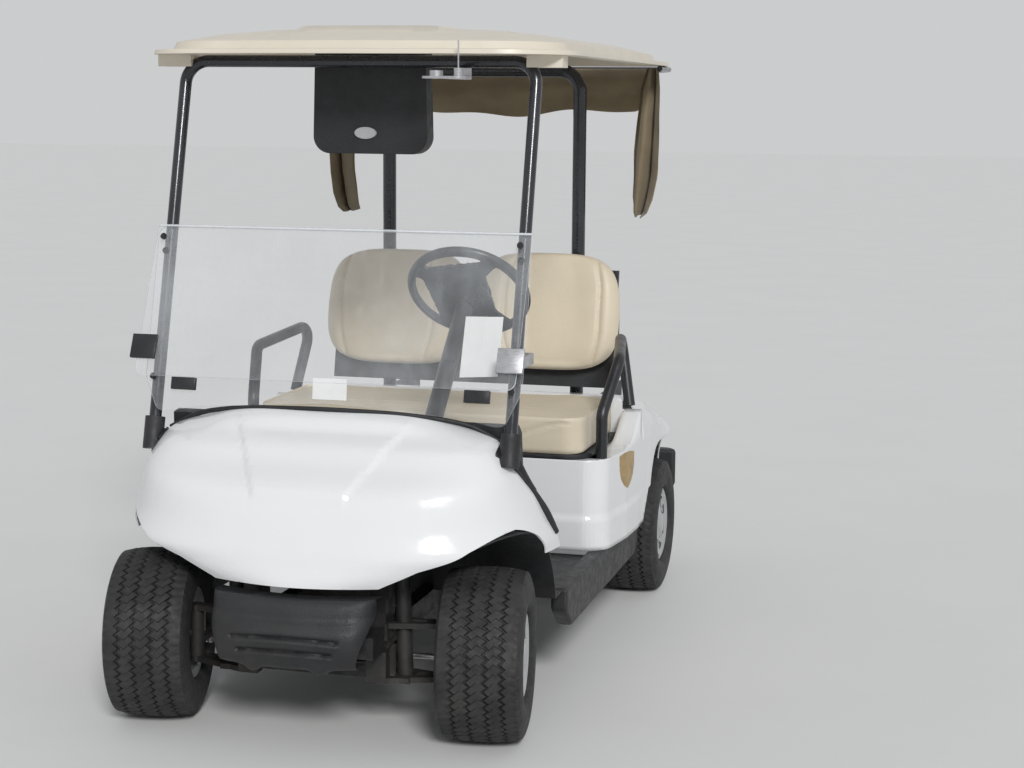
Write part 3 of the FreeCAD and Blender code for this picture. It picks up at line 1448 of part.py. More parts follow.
def roof_brackets():
    """A moulded corner over each front post, under the rim, and a plate on the rear header."""
    pieces = []
    outer, half = S.roof_half - S.bracket_inset, 30
    inner = outer - S.bracket_width
    rear_x, rear_y = S.rear_post_x - 100, behind_rear(-S.rear_post_y)
    for hand, side in SIDES:
        reach = (inner, outer) if side > 0 else (-outer, -inner)
        pieces.append(block(f"roof_corner_{hand}", reach, (HEADER_Y - half, HEADER_Y + half),
                            (S.roof_low - 31, S.roof_low - S.gap)))
        pieces.append(block(f"roof_plate_{hand}", (rear_x * side - half, rear_x * side + half),
                            (rear_y - 22, rear_y + 22), (HEADER_Z + S.rear_post_radius, ROOF_CEILING - S.gap)))
    whole = combine("MultiFuse", "bracket_pieces", pieces)
    room = shaped("bracket_post_room", front_post_tube(S.post_radius + S.gap))
    return node(combine("Cut", "roof_brackets", [whole, room]), "roof_brackets")


roof_brackets()


def display_housing():
    """The moulded box that hangs from the roof over the middle, with a blank oval plate."""
    body = new_body("display_housing")
    half, depth, y = S.display_half, S.display_depth, behind_front(S.display_y)
    low, top = S.display_low, ROOF_CEILING - S.gap
    corner, draft = 46, 6
    pad(body, "XZ_Plane", -(y + depth / 2), depth, [
        (-half, low + corner, corner), (corner - half, low), (half - corner, low, corner), (half, low + corner),
        (half - draft, top), (draft - half, top),
    ])
    plate_x, plate_half, plate_z = -16, 30, 58
    pad(body, "XZ_Plane", -(y - depth / 2) - 1, as_size(3), [
        (plate_x - plate_half, low + plate_z, 40), (plate_x + plate_half, low + plate_z, 40),
    ])
    return node(body, "display_housing")


display_housing()


def antenna():
    """An oval plate that reaches out from the header, with a dome, a small canister and a whip."""
    body = new_body("antenna")
    low, thick = S.antenna_z, 6
    top = low + thick
    reach = HEADER_Y - behind_front(S.antenna_y)
    pad(body, "XY_Plane", low, as_size(thick), rounded(as_size(58), as_size(-26), as_size(26), as_size(25)))
    pad(body, "XY_Plane", low, as_size(thick), rectangle((-14, 14), (as_size(0), reach)))
    pad(body, "XY_Plane", low, HEADER_Z - S.post_radius - S.gap - low, rectangle((-14, 14), (reach - 8, reach)))
    dome, canister, whip = 17, 12, 2
    pad(body, "XY_Plane", low, as_size(thick + 14), circles=[(-22, 0, dome)])
    pad(body, "XY_Plane", low, as_size(thick + 20), circles=[(35, 0, canister)])
    pad(body, "XY_Plane", top, as_size(88), circles=[(35, 0, whip)])
    place(body, S.antenna_x, behind_front(S.antenna_y), as_size(0))
    return node(body, "antenna")


antenna()


# Rear body


def body_side(inset):
    """The rear body seen from the side, without its arches."""
    front, top = -S.pod_front + inset, S.pod_top - inset
    wing, tail = S.wing_top - inset, S.tail_top - inset
    step = -S.cushion_back + 6 + inset
    low = S.sill_top + S.gap - inset * 2
    return [
        (front, low), (front, top), (step, top), (step, wing), (-250, wing - 4), (-60, wing - 32),
        (S.tail_y - 60, tail + 10), (S.tail_y - inset, tail - 20), (S.tail_y - inset, 400 - inset * 2),
        (290, 330 - inset * 2), (-S.arch_rear_half, S.sill_rise + S.gap - inset * 2),
        (-S.arch_rear_half - 26, S.sill_rise - 4 + S.gap - inset * 2), (-S.arch_rear_half - 96, low),
    ]


def body_plan(inset):
    """The rear body seen from above."""
    half, front, tail = S.body_half - inset, POD_HALF - inset, TAIL_HALF - inset
    nose = -S.pod_front + inset
    rear = S.tail_y - inset
    return [
        (-front, nose), (front, nose), (front + 28, -620), (half, -300), (half, 150), (tail, rear - 60, 70),
        (tail - 60, rear), (60 - tail, rear, 70), (-tail, rear - 60), (-half, 150), (-half, -300),
        (-front - 28, -620),
    ]


def body_back(inset):
    """The rear body seen from behind: round shoulders."""
    half, top, turn = S.body_half - inset, S.wing_top - inset, S.wing_shoulder - inset
    low = as_size(250)
    return [
        (-half, low), (half, low), (half, top - turn, turn), (half - turn, top), (turn - half, top, turn),
        (-half, top - turn),
    ]


def body_form(name, inset):
    """The rear body's outside, or the room inside it."""
    wide = S.body_half + 20
    side = prism(f"{name}_side", "YZ", -wide, wide * 2, [(behind_rear(y), z) for y, z in body_side(inset)])
    plan = prism(f"{name}_plan", "XY", as_size(250), as_size(500),
                 [(row[0], behind_rear(row[1]), *row[2:]) for row in body_plan(inset)])
    back = prism(f"{name}_back", "XZ", -REAR_Y - 600, as_size(1600), body_back(inset))
    return combine("MultiCommon", name, [side, plan, back])


def arch_cutter():
    """The rear wheel arches, right across the body."""
    half, top, corner = S.arch_rear_half, S.arch_rear_top, S.arch_corner
    rows = [
        (-half, 200), (-half, top - corner, corner), (corner - half, top), (half - corner, top, corner),
        (half, top - corner), (half, 200),
    ]
    return prism("rear_arches", "YZ", -S.body_half - 30, S.body_half * 2 + 60, [
        (behind_rear(row[0]), row[1], *row[2:]) for row in rows
    ])


LOOP_POINTS = [
    # out from the cushion's side, behind the rear axle, above the ground
    (40, -768, 540),
    (40, -768, 700),
    (68, -664, 846),
    (8, -345, 885),
    (48, -389, 670),
]


def loop_tube(side, radius):
    """One hip restraint: a bar bent up from the pod, back along the seat and down to the wing."""
    return bent_tube([point((CUSHION_HALF + x) * side, behind_rear(y), z) for x, y, z in LOOP_POINTS], radius, 50)


def rear_body():
    """Seat pod and rear wings in one hollow moulding, open below and over the bag well."""
    outer = body_form("body_outside", as_size(0))
    room = body_form("body_room", S.skin)
    well = block("well_cut", (-S.well_half - 40, S.well_half + 40), (behind_rear(-S.well_front), behind_rear(600)),
                 (as_size(200), as_size(900)))
    hatch = block("seat_hatch", (-CUSHION_HALF + 60, CUSHION_HALF - 60),
                  (behind_rear(-S.pod_front + 70), behind_rear(-S.cushion_back - 30)), (S.pod_top - 40, S.pod_top + 20))
    posts = [rod(f"body_post_room_{hand}", (S.rear_post_x * side, behind_rear(-S.rear_post_y), 560),
                 (S.rear_post_x * side, behind_rear(-S.rear_post_y), 760), S.rear_post_radius + S.gap)
             for hand, side in SIDES]
    loops = [shaped(f"body_loop_room_{hand}", loop_tube(side, S.rail_tube_radius + S.gap))
             for hand, side in SIDES]
    cutters = [room, arch_cutter(), well, hatch] + posts + loops
    return node(combine("Cut", "rear_body", [outer] + cutters), "rear_body")


rear_body()


def bag_well():
    """The black tray where the bags stand, with its front wall."""
    wall = S.skin
    half = S.well_half + 40 - S.gap
    front, back = behind_rear(-S.well_front) + S.gap, behind_rear(S.tail_y - 6)
    outer = block("well_outside", (-half, half), (front, back), (S.well_floor - 30, 640))
    room = block("well_inside", (wall - half, half - wall), (front + wall, back + 20), (S.well_floor, 700))
    hollow = block("well_under", (wall - half, half - wall), (front + wall, back - wall),
                   (S.well_floor - 60, S.well_floor - wall))
    return node(combine("Cut", "bag_well", [outer, room, hollow]), "bag_well")


bag_well()


def rear_bumper():
    """A moulded bar across the tail with rounded ends."""
    body = new_body("rear_bumper")
    half = S.rear_bumper_half
    near, far = behind_rear(S.tail_y) + S.gap, behind_rear(S.rear_overhang)
    low, high = S.rear_bumper_low, S.rear_bumper_high
    corner = 44
    pad(body, "XY_Plane", low, high - low, [
        (-half, near), (half, near), (half, far - corner, corner), (half - corner, far), (corner - half, far, corner),
        (-half, far - corner),
    ])
    return node(body, "rear_bumper")


rear_bumper()


# Seats


def seat_trim():
    """The black strip round the pod's top under the cushion."""
    half = CUSHION_HALF + 22
    front, back = behind_rear(-S.pod_front - 6), behind_rear(-S.cushion_back)
    low, high = S.pod_top, S.pod_top + S.trim_height - S.gap
    outer = block("trim_outside", (-half, half), (front, back), (low, high))
    room = block("trim_inside", (60 - half, half - 60), (front + 60, back - 40), (low - 2, high + 2))
    return node(combine("Cut", "seat_trim", [outer, room]), "seat_trim")


seat_trim()


def seat_cushion():
    """The bench cushion, full at the middle of its height and drawn in above and below."""
    body = new_body("seat_cushion")
    front, back = behind_rear(-S.cushion_front), behind_rear(-S.cushion_back - 6)
    low, thick = S.cushion_bottom, S.cushion_thickness
    levels = [
        # share of the thickness, drawn in all round
        (0, 12),
        (0.2, 2),
        (0.4, 0),
        (0.7, 3),
        (0.88, 14),
        (1, 40),
    ]
    corner = as_size(52)
    loft(body, "AdditiveLoft", "XY_Plane", [
        (low + thick * share, rounded(CUSHION_HALF - inset, front + inset, back - inset, corner))
        for share, inset in levels
    ], True)
    return node(body, "seat_cushion")


seat_cushion()


def back_outline(inset, thick):
    """A seat back seen square on, tapered upwards, drawn in all round."""
    half, top_half = BACK_WIDTH / 2 - inset, BACK_WIDTH / 2 - 26 - inset
    low, tall = inset, (S.back_high - S.back_low) / cosine(S.back_rake) - inset
    corner, low_corner = 100, 90
    return (thick, [
        (low_corner - half, low), (half - low_corner, low, low_corner), (half, low + low_corner),
        (top_half, tall - corner, corner), (top_half - corner, tall), (corner - top_half, tall, corner),
        (-top_half, tall - corner), (-half, low + low_corner, low_corner),
    ])


def seat_back(hand, side):
    """One seat back, full at its middle and drawn in towards both faces, leaned back."""
    body = new_body(f"seat_back_{hand}")
    levels = [
        # share of the thickness, drawn in all round
        (0, 8),
        (0.3, 0),
        (0.65, 3),
        (0.87, 13),
        (1, 34),
    ]
    loft(body, "AdditiveLoft", "XZ_Plane", [
        back_outline(as_size(inset), S.back_thickness * share) for share, inset in levels
    ], True)
    x = (BACK_WIDTH / 2 + S.back_gap / 2) * side
    lean = Rotation(Vector(1, 0, 0), -float(S.back_rake))
    place(body, x, behind_rear(-S.back_front) + S.back_thickness, S.back_low, lean)
    return node(body, f"seat_back_{hand}")


for hand, side in SIDES:
    seat_back(hand, side)


def back_plane(height):
    """How far before the rear axle the seat backs' rear faces are at a height."""
    return -S.back_front + S.back_thickness + (as_size(height) - S.back_low) * tangent(S.back_rake)


def seat_back_support():
    """The moulded support behind the seat backs and its arms to the roof posts."""
    half = BACK_WIDTH + S.back_gap / 2 - 20
    low, high = as_size(702), S.back_high - 50
    thick = 18
    shell = prism("support_form", "YZ", -half, half * 2, [
        (behind_rear(back_plane(low) + S.gap), low), (behind_rear(back_plane(high) + S.gap), high),
        (behind_rear(back_plane(high) + thick), high), (behind_rear(back_plane(low) + thick), low),
    ])
    parts = [shell]
    for hand, side in SIDES:
        x = S.rear_post_x * side
        for level, z in (("low", 800), ("high", 1040)):
            parts.append(block(f"support_arm_{level}_{hand}", (x - 16, x + 16),
                               (behind_rear(back_plane(z) + 8), behind_rear(-S.rear_post_y)), (z - 20, z + 20)))
    whole = combine("MultiFuse", "support_pieces", parts)
    rooms = [rod(f"post_room_{hand}", (S.rear_post_x * side, behind_rear(-S.rear_post_y), 600),
                 (S.rear_post_x * side, behind_rear(-S.rear_post_y), 1500), S.rear_post_radius)
             for hand, side in SIDES]
    return node(combine("Cut", "seat_back_support", [whole] + rooms), "seat_back_support")


seat_back_support()


def hip_restraints():
    """A bent loop beside each end of the seat, its feet let into the body."""
    loops = [loop_tube(side, S.rail_tube_radius) for hand, side in SIDES]
    return node(shaped("hip_restraints", Part.makeCompound(loops)), "hip_restraints")


hip_restraints()


def sweater_basket():
    """A moulded open basket behind the seat."""
    wall = S.skin
    half = S.basket_half
    front = -S.rear_post_y + S.rear_post_radius + S.gap
    back = front + S.basket_depth
    low, high = S.basket_low, S.basket_high
    outer = prism("basket_outside", "XY", low, high - low,
                  [(row[0], behind_rear(row[1]), *row[2:]) for row in rounded(half, front, back, as_size(60))])
    inner = prism("basket_inside", "XY", low + wall, high - low,
                  [(row[0], behind_rear(row[1]), *row[2:])
                   for row in rounded(half - wall, front + wall, back - wall, as_size(60) - wall)])
    return node(combine("Cut", "sweater_basket", [outer, inner]), "sweater_basket")


sweater_basket()


def bag_rack():
    """A bent bar round the basket, from post to post, that the bags lean on."""
    near = -S.rear_post_y + S.rear_post_radius + S.gap
    back = near + S.basket_depth + 40
    x, z = S.rear_post_x, S.basket_high + 60
    points = [(-x, near, z), (-x, back, z), (x, back, z), (x, near, z)]
    bar = bent_tube([point(a, behind_rear(b), c) for a, b, c in points], S.rack_bar_radius, 60)
    return node(shaped("bag_rack", bar), "bag_rack")


bag_rack()


# Bag cover


HOOP_X = S.roof_half - 14
HOOP_Z = S.roof_low - S.cover_hoop_radius - S.gap
HOOP_BACK = as_size(128)
HOOP_BEND = as_size(60)


def cover_hoop():
    """The bent bar under the roof's rear edge that carries the bag cover."""
    points = [(-HOOP_X, -90, HOOP_Z), (-HOOP_X, HOOP_BACK, HOOP_Z), (HOOP_X, HOOP_BACK, HOOP_Z), (HOOP_X, -90, HOOP_Z)]
    bar = bent_tube([point(a, behind_rear(b), c) for a, b, c in points], S.cover_hoop_radius, HOOP_BEND)
    return node(shaped("cover_hoop", bar), "cover_hoop")


cover_hoop()


def bag_cover():
    """The fabric cover folded up under the roof's rear edge."""
    fold = S.cover_fold
    x = HOOP_X - S.cover_hoop_radius - S.gap
    top = HOOP_Z + 6
    back = HOOP_BACK - S.cover_hoop_radius - S.gap
    turn = HOOP_BEND - S.cover_hoop_radius - S.gap
    bend_x, bend_y = x - turn, back - turn
    parts = []
    for hand, side in SIDES:
        start = x - fold if side > 0 else -x
        parts.append(prism(f"cover_side_{hand}", "YZ", start, fold, [
            (behind_rear(-78), top), (behind_rear(-70), S.cover_drop + 40, 60), (behind_rear(-30), S.cover_drop),
            (behind_rear(bend_y), S.cover_drop), (behind_rear(bend_y), top),
        ]))
        parts.append(prism(f"cover_corner_{hand}", "XY", S.cover_drop, top - S.cover_drop, [
            (x * side, behind_rear(bend_y), turn), (bend_x * side, behind_rear(back)),
            (bend_x * side, behind_rear(back - fold), fold - turn), ((x - fold) * side, behind_rear(bend_y)),
        ]))
    parts.append(block("cover_back", (-bend_x, bend_x), (behind_rear(back - fold), behind_rear(back)),
                       (S.cover_valance, top)))
    return node(combine("MultiFuse", "bag_cover", parts), "bag_cover")


bag_cover()


# Checks and files

doc.recompute()
faults = [item.Name for item in doc.Objects if "Invalid" in item.State or "Error" in item.State]
if faults:
    raise RuntimeError(f"these did not recompute: {faults}")
labels = [item.Label for item in NODES]
if len(set(labels)) != len(labels):
    raise RuntimeError("two sub-parts share a name")
for item in NODES:
    if item.Shape.isNull() or not item.Shape.isValid() or not item.Shape.Solids:
        raise RuntimeError(f"{item.Label}: no sound solid")

os.makedirs("parts", exist_ok=True)
for item in NODES:
    item.Shape.exportStep(os.path.join("parts", f"{item.Label}.step"))
print(f"{len(NODES)} sub-parts written")
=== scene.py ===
"""Two-seat golf cart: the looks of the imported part, laid out as a Blender add-on.

Metres, in the part's own frame: +X is the driver's side, -Y the front and +Z up.
"""
import json
from math import atan2, cos, degrees, exp, hypot, pi, radians, sin, sqrt, tau

import bmesh
import bpy
from bpy.props import FloatProperty, FloatVectorProperty, IntProperty
from mathutils import Matrix, Vector, noise

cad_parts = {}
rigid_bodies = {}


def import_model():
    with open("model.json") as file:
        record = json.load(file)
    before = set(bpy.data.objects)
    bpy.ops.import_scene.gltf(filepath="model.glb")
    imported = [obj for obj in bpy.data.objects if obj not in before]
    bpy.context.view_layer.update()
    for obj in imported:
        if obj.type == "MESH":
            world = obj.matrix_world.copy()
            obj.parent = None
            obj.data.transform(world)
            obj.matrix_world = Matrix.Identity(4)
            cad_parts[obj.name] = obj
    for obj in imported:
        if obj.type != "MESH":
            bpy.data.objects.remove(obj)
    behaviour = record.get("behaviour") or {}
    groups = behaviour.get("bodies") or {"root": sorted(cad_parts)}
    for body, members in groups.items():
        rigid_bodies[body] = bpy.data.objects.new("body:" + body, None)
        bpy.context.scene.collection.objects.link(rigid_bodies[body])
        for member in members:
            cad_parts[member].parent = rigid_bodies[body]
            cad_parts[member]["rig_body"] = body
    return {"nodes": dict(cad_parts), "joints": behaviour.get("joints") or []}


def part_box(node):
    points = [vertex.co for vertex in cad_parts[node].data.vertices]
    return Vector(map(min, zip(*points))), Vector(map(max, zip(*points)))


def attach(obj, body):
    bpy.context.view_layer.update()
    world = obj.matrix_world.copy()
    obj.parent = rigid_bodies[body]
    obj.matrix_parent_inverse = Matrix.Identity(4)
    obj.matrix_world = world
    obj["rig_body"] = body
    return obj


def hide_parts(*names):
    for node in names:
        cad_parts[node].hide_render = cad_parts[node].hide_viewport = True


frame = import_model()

bl_info = {
    "name": "Golf Cart Looks",
    "version": (1, 0, 0),
    "blender": (4, 5, 0),
    "location": "View3D > Sidebar > Golf Cart",
    "description": "Builds the visible pieces, finishes and stage of a two-seat golf cart",
    "category": "Object",
}

JOINTS = {joint["name"]: joint for joint in frame["joints"]}
FRONT_AXLE = JOINTS["steer_left"]["pos_m"][1]
REAR_AXLE = JOINTS["rear_left_spin"]["pos_m"][1]
# how each wheel is turned about the vertical as the cart stands, its outer side drawn towards +X
WHEELS = {"front_left": 8.0, "front_right": 180.0 + 11.0, "rear_left": 0.0, "rear_right": 180.0}
HANDS = (("left", 1), ("right", -1))
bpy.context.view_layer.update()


# Sizes and colours


class CartLooks(bpy.types.PropertyGroup):
    """The sizes and colours that a user would change."""

    paint: FloatVectorProperty(
        name="Body paint", description="Gloss white of the cowl and body",
        subtype="COLOR", size=3, default=(0.80, 0.81, 0.82))
    roof: FloatVectorProperty(
        name="Roof", description="Cream plastic of the roof",
        subtype="COLOR", size=3, default=(0.74, 0.68, 0.57))
    vinyl: FloatVectorProperty(
        name="Vinyl", description="Beige vinyl of the seats",
        subtype="COLOR", size=3, default=(0.68, 0.60, 0.46))
    canvas: FloatVectorProperty(
        name="Canvas", description="Tan cloth of the bag cover",
        subtype="COLOR", size=3, default=(0.24, 0.19, 0.115))
    groove: FloatProperty(
        name="Tread groove", description="Depth of the tread's grooves",
        unit="LENGTH", default=0.008, min=0.001, max=0.01)
    tread_pitch: IntProperty(
        name="Tread repeats", description="How often the tread's pattern repeats round a tyre",
        default=60, min=20, max=90)
    seam: FloatProperty(
        name="Seam depth", description="Depth of the seats' seams",
        unit="LENGTH", default=0.008, min=0.001, max=0.012)
    crease: FloatProperty(
        name="Crease height", description="Height of the cowl's raised middle above its sides",
        unit="LENGTH", default=0.007, min=0.0, max=0.02)
    sun_strength: FloatProperty(
        name="Sun", description="Strength of the soft main light", default=2.0, min=0.0)
    sky_strength: FloatProperty(
        name="Sky", description="Strength of the light from all sides", default=0.40, min=0.0)


def looks():
    """The settings of this scene."""
    return bpy.context.scene.cart_looks


# Finishes


class Finish:
    """One material: a plain shader whose patterns follow the object's own coordinates.

    colour is a colour, or the name of the setting that holds it. tone is (spread, scale) of its patches.
    dust is (colour, height below which it is full, height where it ends, share). gloss is the roughness as
    (scale, detail, low, high). relief holds (scale, detail, depth), with None as detail for round cells.
    """

    def __init__(self, name, colour, metal=0.0, tone=None, dust=None, gloss=None, relief=(), extra=None,
                 **inputs):
        self.material = bpy.data.materials.new(name)
        self.material.use_nodes = True
        self.tree = self.material.node_tree
        self.shader = self.tree.nodes["Principled BSDF"]
        self.place = self.tree.nodes.new("ShaderNodeTexCoord").outputs["Object"]
        self.colour = getattr(looks(), colour) if isinstance(colour, str) else colour
        self.set("Base Color", (*self.colour, 1.0))
        self.set("Metallic", metal)
        for socket, value in inputs.items():
            self.set(socket.replace("_", " "), value)
        if tone:
            self.tint(*tone, dust)
        if gloss:
            scale, detail, low, high, *stretch = gloss
            self.set("Roughness", self.ranged(self.noise(scale, detail, *stretch), low, high))
        if relief:
            self.bumps(*((self.cells(scale) if detail is None else self.noise(scale, detail), depth)
                         for scale, detail, depth in relief))
        if extra:
            extra(self)

    def feed(self, socket, value):
        """Sets a socket's constant, or links a pattern to it."""
        if isinstance(value, bpy.types.NodeSocket):
            self.tree.links.new(value, socket)
        else:
            socket.default_value = value

    def set(self, name, value):
        """Feeds one of the shader's own inputs."""
        self.feed(self.shader.inputs[name], value)

    def add(self, kind, output, settings=None, **inputs):
        """Adds a node and returns one of its outputs."""
        item = self.tree.nodes.new(kind)
        for name, value in (settings or {}).items():
            setattr(item, name, value)
        for name, value in inputs.items():
            key = int(name[1:]) if name[1:].isdigit() else name.replace("_", " ")
            self.feed(item.inputs[key], value)
        return item.outputs[output]

    def noise(self, scale, detail=3.0, stretch=None):
        """Soft random patches; stretch draws them out along an axis."""
        place = self.place
        if stretch:
            place = self.add("ShaderNodeMapping", "Vector", Vector=place, Scale=stretch)
        return self.add("ShaderNodeTexNoise", "Fac", Vector=place, Scale=scale, Detail=detail, Roughness=0.6)

    def cells(self, scale):
        """Small rounded cells, like the grain of vinyl or moulded plastic."""
        return self.add("ShaderNodeTexVoronoi", "Distance", {"feature": "SMOOTH_F1"},
                        Vector=self.place, Scale=scale, Smoothness=0.6)

    def ranged(self, factor, low, high, start=0.3, end=0.7):
        """A factor spread over a range."""
        return self.add("ShaderNodeMapRange", "Result", {"interpolation_type": "SMOOTHSTEP"},
                        Value=factor, From_Min=start, From_Max=end, To_Min=low, To_Max=high)

    def mixed(self, factor, first, second):
        """Two colours mixed by a factor; each is a colour or a pattern."""
        first = first if isinstance(first, bpy.types.NodeSocket) else (*first, 1.0)
        second = second if isinstance(second, bpy.types.NodeSocket) else (*second, 1.0)
        return self.add("ShaderNodeMix", 2, {"data_type": "RGBA"}, _0=factor, _6=first, _7=second)

    def bumps(self, *layers):
        """Raised patterns, each (height pattern, depth in metres)."""
        normal = None
        for height, depth in layers:
            inputs = {"Height": height, "Distance": depth, "Strength": 1.0}
            if normal is not None:
                inputs["Normal"] = normal
            normal = self.add("ShaderNodeBump", "Normal", **inputs)
        self.set("Normal", normal)

    def tint(self, spread, scale, dust=None):
        """Gives the colour its patchy tone, and road dust that thins out upwards."""
        patches = self.ranged(self.noise(scale), 0.0, 1.0)
        tone = self.mixed(patches, times(self.colour, 1 - spread), times(self.colour, 1 + spread))
        if dust:
            colour, low, high, share = dust
            height = self.add("ShaderNodeSeparateXYZ", "Z", Vector=self.place)
            level = self.ranged(height, 1.0, 0.0, low, high)
            amount = self.add("ShaderNodeMath", "Value", {"operation": "MULTIPLY"},
                              _0=level, _1=self.ranged(self.noise(9.0, 6.0), 0.0, share))
            tone = self.mixed(amount, tone, colour)
        self.set("Base Color", tone)


def times(colour, share):
    """A colour made darker or lighter."""
    return tuple(min(1.0, part * share) for part in colour)


def weave(finish):
    """Two crossed sets of threads over soft creases."""
    threads = [finish.add("ShaderNodeTexWave", "Fac", {"bands_direction": way}, Vector=finish.place,
                          Scale=110.0, Distortion=0.6, Detail=1.0) for way in ("DIAGONAL", "Z")]
    cloth = finish.add("ShaderNodeMath", "Value", {"operation": "MULTIPLY"}, _0=threads[0], _1=threads[1])
    finish.bumps((finish.noise(14.0, 4.0), 0.004), (cloth, 0.0005))


def rust(finish):
    """A touch of rust on iron."""
    share = finish.ranged(finish.noise(24.0, 6.0), 0.0, 0.5, 0.5, 0.75)
    finish.set("Base Color", finish.mixed(share, finish.colour, (0.09, 0.05, 0.03)))


def haze(finish):
    """The film of dust and fine scratches on a clear sheet."""
    film = finish.ranged(finish.noise(2.2, 5.0), 0.035, 0.13, 0.35, 0.7)
    streaks = finish.ranged(finish.noise(30.0, 8.0, (1.0, 1.0, 0.2)), 0.0, 0.03, 0.5, 0.7)
    finish.set("Alpha", finish.add("ShaderNodeMath", "Value", {"operation": "ADD"}, _0=film, _1=streaks))


def painted_edge_highlight(finish):
    """A sawn edge of clear sheet, made pale and half opaque in patches: a painted highlight."""
    finish.set("Alpha", finish.ranged(finish.noise(12.0, 3.0), 0.45, 0.75))


DUST = (0.33, 0.28, 0.21)
GREY_DUST = (0.11, 0.10, 0.085)

FINISHES = {
    # gloss white gel coat, slightly wavy
    "paint": dict(name="body_paint", colour="paint", tone=(0.012, 2.5), dust=(DUST, 0.32, 0.50, 0.10),
                  gloss=(14.0, 5.0, 0.10, 0.24), relief=((3.0, 1.0, 0.0006), (260.0, 2.0, 0.00004)),
                  Coat_Weight=0.5, Coat_Roughness=0.06),
    # cream satin plastic
    "roof": dict(name="roof_plastic", colour="roof", tone=(0.03, 3.0), gloss=(20.0, 5.0, 0.28, 0.46),
                 relief=((700.0, 2.0, 0.00012),)),
    # soft grained vinyl
    "vinyl": dict(name="seat_vinyl", colour="vinyl", tone=(0.035, 5.0), gloss=(30.0, 5.0, 0.36, 0.54),
                  relief=((6.0, 3.0, 0.0012), (420.0, None, 0.00045)), Sheen_Weight=0.08),
    # woven canvas, faded in patches
    "canvas": dict(name="cover_canvas", colour="canvas", tone=(0.10, 7.0), extra=weave, Roughness=0.85,
                   Sheen_Weight=0.25),
    # black moulded plastic with a leathery grain
    "grained": dict(name="grained_plastic", colour=(0.014, 0.015, 0.017), tone=(0.25, 10.0),
                    dust=(DUST, 0.15, 0.45, 0.06), gloss=(40.0, 5.0, 0.42, 0.62),
                    relief=((330.0, None, 0.0006), (900.0, 2.0, 0.0002))),
    "black": dict(name="smooth_black", colour=(0.018, 0.019, 0.022), tone=(0.2, 12.0),
                  gloss=(25.0, 5.0, 0.26, 0.42), relief=((500.0, 2.0, 0.00012),)),
    # gloss black paint on steel tube
    "tube": dict(name="painted_tube", colour=(0.016, 0.018, 0.024), tone=(0.2, 12.0),
                 gloss=(30.0, 5.0, 0.16, 0.32), relief=((150.0, 3.0, 0.0001),), Coat_Weight=0.4),
    # satin black chassis paint under road dirt
    "frame": dict(name="frame_paint", colour=(0.014, 0.014, 0.015), tone=(0.3, 14.0),
                  dust=(DUST, 0.1, 0.5, 0.10), gloss=(30.0, 5.0, 0.45, 0.75), relief=((220.0, 4.0, 0.0004),)),
    "iron": dict(name="cast_iron", colour=(0.045, 0.042, 0.04), metal=0.5, extra=rust,
                 gloss=(60.0, 5.0, 0.5, 0.8), relief=((350.0, 4.0, 0.0006),)),
    # turned or plated steel, its gloss drawn out along Z
    "steel": dict(name="bare_steel", colour=(0.55, 0.55, 0.57), metal=1.0, tone=(0.08, 30.0),
                  gloss=(80.0, 4.0, 0.25, 0.45, (1.0, 1.0, 8.0)), relief=((600.0, 2.0, 0.00008),)),
    # silver wheel paint with fine flake
    "silver": dict(name="silver_paint", colour=(0.52, 0.53, 0.54), metal=0.75, tone=(0.05, 16.0),
                   dust=(DUST, 0.05, 0.5, 0.2), gloss=(900.0, 2.0, 0.24, 0.4),
                   relief=((800.0, 2.0, 0.00005),), Coat_Weight=0.3),
    # dull rubber, greyed by the road
    "tyre": dict(name="tyre_rubber", colour=(0.020, 0.020, 0.021), tone=(0.3, 18.0),
                 dust=(GREY_DUST, 0.0, 0.9, 0.14), gloss=(60.0, 5.0, 0.62, 0.85),
                 relief=((420.0, 5.0, 0.0004),)),
    "rubber": dict(name="boot_rubber", colour=(0.018, 0.018, 0.02), tone=(0.2, 20.0),
                   gloss=(60.0, 5.0, 0.45, 0.65), relief=((500.0, 3.0, 0.0003),)),
    "clear": dict(name="clear_sheet", colour=(0.80, 0.83, 0.86), extra=haze, gloss=(50.0, 6.0, 0.05, 0.2),
                  Coat_Weight=0.4),
    # the panes' sawn edges: pale and half opaque, a painted highlight
    "edge": dict(name="clear_edge", colour=(0.86, 0.89, 0.92), extra=painted_edge_highlight, gloss=(90.0, 3.0, 0.15, 0.4)),
    # a label and a foil, both bare of any print
    "paper": dict(name="blank_paper", colour=(0.86, 0.86, 0.85), tone=(0.02, 30.0),
                  gloss=(90.0, 3.0, 0.4, 0.6), relief=((500.0, 3.0, 0.00008),)),
    "badge": dict(name="badge_foil", colour=(0.45, 0.30, 0.11), metal=0.5, tone=(0.12, 40.0),
                  gloss=(90.0, 3.0, 0.25, 0.45), relief=((300.0, 3.0, 0.0001),)),
}
finishes = {}


def finish_of(name):
    """One of the cart's finishes, made when it is first asked for."""
    if name not in finishes:
        finishes[name] = Finish(**FINISHES[name]).material
    return finishes[name]


# Tools

SAME_PLACE = 0.00002
FLAT_ANGLE = 0.4
SPAN_STEPS = 6


def linked(name, data):
    """A new object in the scene."""
    item = bpy.data.objects.new(name, data)
    bpy.context.scene.collection.objects.link(item)
    return item


def body_of(node):
    """The moving body that a CAD solid belongs to."""
    return frame["nodes"][node]["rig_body"]


def piece(name, bm, body, *finish_names, sharp=40.0):
    """Turns a bmesh into a finished piece that rides on a body."""
    mesh = bpy.data.meshes.new(name)
    bm.to_mesh(mesh)
    bm.free()
    mesh.shade_smooth()
    mesh.set_sharp_from_angle(angle=radians(sharp))
    for finish_name in finish_names:
        mesh.materials.append(finish_of(finish_name))
    item = linked(name, mesh)
    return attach(item, body)


def turned_out(bm):
    """Points all faces outwards."""
    bmesh.ops.recalc_face_normals(bm, faces=bm.faces)


